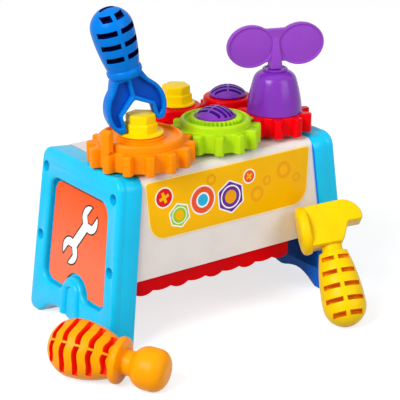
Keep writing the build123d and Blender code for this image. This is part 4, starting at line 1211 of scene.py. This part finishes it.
def wall_place():
    """From drawing axes on the front wall to the bench: X along it, Y up it, Z out of it."""
    return Matrix(((1, 0, 0, 0), (0, sin(WALL_LEAN), -cos(WALL_LEAN), -WALL_FOOT * MM),
                   (0, cos(WALL_LEAN), sin(WALL_LEAN), 0), (0, 0, 0, 1)))


def label_sheet(inset):
    """The label's outline, or one inside it."""
    low = LABEL_LOW + inset
    high = LABEL_HIGH - inset
    half_low = LABEL_HALF_LOW - inset
    half_high = LABEL_HALF_HIGH - inset
    wide = 20.0 - inset
    tight = 4.0 - inset * 0.6
    return rounded([(-half_low, low, wide), (half_low, low, wide), (half_high, high, tight),
                    (-half_high, high, tight)], 8)


def printed(x, y, *layers):
    """Inks laid one over the other round a point: each an ink, an outer outline and its holes."""
    inks = []
    for i, (ink, *outlines) in enumerate(layers):
        low = INK_FLOOR + INK_THICKNESS * i
        moved = [[(px + x, py + y) for px, py in outline] for outline in outlines]
        inks.append(paint(moulded("ink", moved, low, low + INK_THICKNESS, 0.004), ink))
    return inks


def hex_nut(x, y, flats, angle, rim, ink, bore):
    """A nut seen from above, with a pale rim, a bevel line and an inked bore."""
    return printed(x, y, (rim, hexagon(flats + 3.0, angle, 2.6)), (ink, hexagon(flats, angle)),
                   (rim, circle(flats * 0.43), circle(flats * 0.38)), (bore, circle(flats * 0.25)))


def washer(x, y, radius, rim, ink, bore):
    """A washer seen from above, with a pale rim and an inked bore."""
    return printed(x, y, (rim, circle(radius + 1.5)), (ink, circle(radius)),
                   (rim, circle(radius * 0.58)), (bore, circle(radius * 0.45)))


def screw_head(x, y, radius, angle, rim, ink, slot):
    """A screw head seen from above, with a cross slot."""
    arm = radius * 0.62
    half = radius * 0.17
    cross = []
    for i in range(4):
        a = radians(angle + 90 * i)
        for px, py in ((arm, -half), (arm, half), (half, half)):
            cross.append((px * cos(a) - py * sin(a), px * sin(a) + py * cos(a)))
    return printed(x, y, (rim, circle(radius + 1.4)), (ink, circle(radius)), (slot, cross))


class WORKBENCH_OT_label(bpy.types.Operator):
    """Front label with printed nuts, washers and screw heads"""
    bl_idname = "workbench.label"
    bl_label = "Label"

    def execute(self, context):
        c = colours()
        ground = print_ink("ground", c.label)
        pale = print_ink("edge", c.label_edge)
        tint = print_ink("tint", c.label_ring)
        white = print_ink("white", c.print_white)
        purple = print_ink("purple", c.print_purple)
        coral = print_ink("coral", c.print_coral)
        cyan = print_ink("cyan", c.print_cyan)
        lime = print_ink("lime", c.print_lime)
        red = print_ink("red", c.print_red)

        pieces = [paint(moulded("film", [label_sheet(0)], 0.02, 0.6, 0.2), pale)]
        pieces.append(paint(moulded("field", [label_sheet(1.5)], 0.3, INK_FLOOR, 0.05), ground))
        rings = ((34, 132, 8.5), (47, 144, 5.5), (69, 151, 9.5), (86, 140, 5.0), (-24, 159, 6.0))
        for x, y, radius in rings:
            pieces += printed(x, y, (tint, circle(radius), circle(radius * 0.55)))
        pieces += screw_head(-82, 152, 9.5, 20, white, red, ground)
        pieces += hex_nut(-64, 130, 21.0, 12, white, lime, ground)
        pieces += washer(-35, 140, 14.0, white, coral, cyan)
        pieces += hex_nut(0, 136, 29.0, 4, white, purple, tint)
        pieces += screw_head(24, 153, 6.5, 35, white, coral, ground)
        made = joined("front_label_film", *pieces)
        hand_over(settle(made, wall_place()), "bench", "label_yellow", "front_label")
        return {"FINISHED"}


def spanner(reach, radius, waist, gap):
    """Outline of a flat spanner with an open jaw at each end."""
    neck = degrees(asin(waist / radius))
    lip = degrees(asin(gap / radius))
    end = arc(reach, 0, radius, neck - 180, -lip, 14)
    end += [(reach - gap * 0.2, -gap), (reach - gap * 0.9, 0), (reach - gap * 0.2, gap)]
    end += arc(reach, 0, radius, lip, 180 - neck, 14)
    return end + [(-x, -y) for x, y in end]


class WORKBENCH_OT_end_print(bpy.types.Operator):
    """Spanner printed on the left end panel"""
    bl_idname = "workbench.end_print"
    bl_label = "End print"

    def execute(self, context):
        c = colours()
        dark = moulded("dark", [spanner(SPANNER_REACH, 15.6, 6.6, 5.0)], 0.0, 0.06, 0.01)
        white = moulded("white", [spanner(SPANNER_REACH, 14.0, 5.0, 6.6)], 0.05, 0.12, 0.01)
        paint(dark, print_ink("dark", c.print_dark))
        paint(white, print_ink("white", c.print_white))
        made = joined("end_panel_print", dark, white)
        settle(made, end_place() @ lift(0, PANEL_MIDDLE, -PANEL_SUNK) @ turn(SPANNER_BEARING, "Z"))
        hand_over(made, "bench", "panel_coral")
        return {"FINISHED"}


# Studio, in metres and watts

# Each lamp's name, place, width and power.
LAMPS = (
    ("key light", (-2.1, -0.6, 1.7), 1.3, 62.0),
    ("fill light", (0.6, -2.0, 1.1), 1.4, 18.0),
    ("top light", (0.0, 0.2, 2.4), 2.0, 5.0),
)
LIT_POINT = (0.0, 0.0, 0.12)
CAMERA_PLACE = (-0.9219, -1.3009, 0.6977)
CAMERA_LOOK = (0.5477, 0.7620, -0.3455)


def aim(name, data, place, direction):
    """Adds a lamp or camera at a place, looking in a direction."""
    made = bpy.data.objects.new(name, data)
    bpy.context.scene.collection.objects.link(made)
    made.location = place
    made.rotation_euler = Vector(direction).to_track_quat("-Z", "Y").to_euler()
    return made


class WORKBENCH_OT_studio(bpy.types.Operator):
    """Pale floor, soft lights and camera"""
    bl_idname = "workbench.studio"
    bl_label = "Studio"

    def execute(self, context):
        scene = context.scene
        scene.view_settings.view_transform = "Standard"
        deselect()
        bpy.ops.mesh.primitive_plane_add(size=30)
        floor = bpy.context.object
        floor.name = "studio_floor"
        paint(floor, studio_paper("matt studio paper", colours().floor))

        world = bpy.data.worlds.new("soft studio")
        scene.world = world
        world.use_nodes = True
        tree = world.node_tree
        tree.nodes.clear()
        sky = node(tree, "ShaderNodeBackground", {"Color": WHITE},
                   {"Strength": seen_strength(tree, seen=1.0, unseen=0.36)})
        node(tree, "ShaderNodeOutputWorld", (), {"Surface": sky.outputs[0]})

        for name, place, size, power in LAMPS:
            data = bpy.data.lights.new(name, "AREA")
            data.size = size
            data.energy = power
            aim(name, data, place, Vector(LIT_POINT) - Vector(place))

        lens = bpy.data.cameras.new("camera")
        lens.lens = 144.0
        lens.sensor_width = 36.0
        lens.clip_end = 50.0
        scene.camera = aim("camera", lens, CAMERA_PLACE, CAMERA_LOOK)
        return {"FINISHED"}


class WORKBENCH_PT_panel(bpy.types.Panel):
    bl_label = "Toy Workbench"
    bl_idname = "WORKBENCH_PT_panel"
    bl_space_type = "VIEW_3D"
    bl_region_type = "UI"
    bl_category = "Toy Workbench"

    def draw(self, context):
        for operator in OPERATORS:
            self.layout.operator(operator.bl_idname)
        for group in (context.scene.workbench_sizes, context.scene.workbench_colours):
            for name in group.__annotations__:
                self.layout.prop(group, name)


OPERATORS = (
    WORKBENCH_OT_bench_finish,
    WORKBENCH_OT_end_frames,
    WORKBENCH_OT_label,
    WORKBENCH_OT_end_print,
    WORKBENCH_OT_gears,
    WORKBENCH_OT_bolts,
    WORKBENCH_OT_dome_screws,
    WORKBENCH_OT_key,
    WORKBENCH_OT_wrench,
    WORKBENCH_OT_hammer,
    WORKBENCH_OT_screwdriver,
    WORKBENCH_OT_studio,
)
CLASSES = (WorkbenchColours, WorkbenchSizes, *OPERATORS, WORKBENCH_PT_panel)


def register():
    for made in CLASSES:
        bpy.utils.register_class(made)
    bpy.types.Scene.workbench_colours = bpy.props.PointerProperty(type=WorkbenchColours)
    bpy.types.Scene.workbench_sizes = bpy.props.PointerProperty(type=WorkbenchSizes)


def unregister():
    del bpy.types.Scene.workbench_sizes
    del bpy.types.Scene.workbench_colours
    for made in reversed(CLASSES):
        bpy.utils.unregister_class(made)


def main():
    register()
    bpy.ops.workbench.bench_finish()
    bpy.ops.workbench.end_frames()
    bpy.ops.workbench.label()
    bpy.ops.workbench.end_print()
    bpy.ops.workbench.gears()
    bpy.ops.workbench.bolts()
    bpy.ops.workbench.dome_screws()
    bpy.ops.workbench.key()
    bpy.ops.workbench.wrench()
    bpy.ops.workbench.hammer()
    bpy.ops.workbench.screwdriver()
    bpy.ops.workbench.studio()


if __name__ == "__main__":
    main()
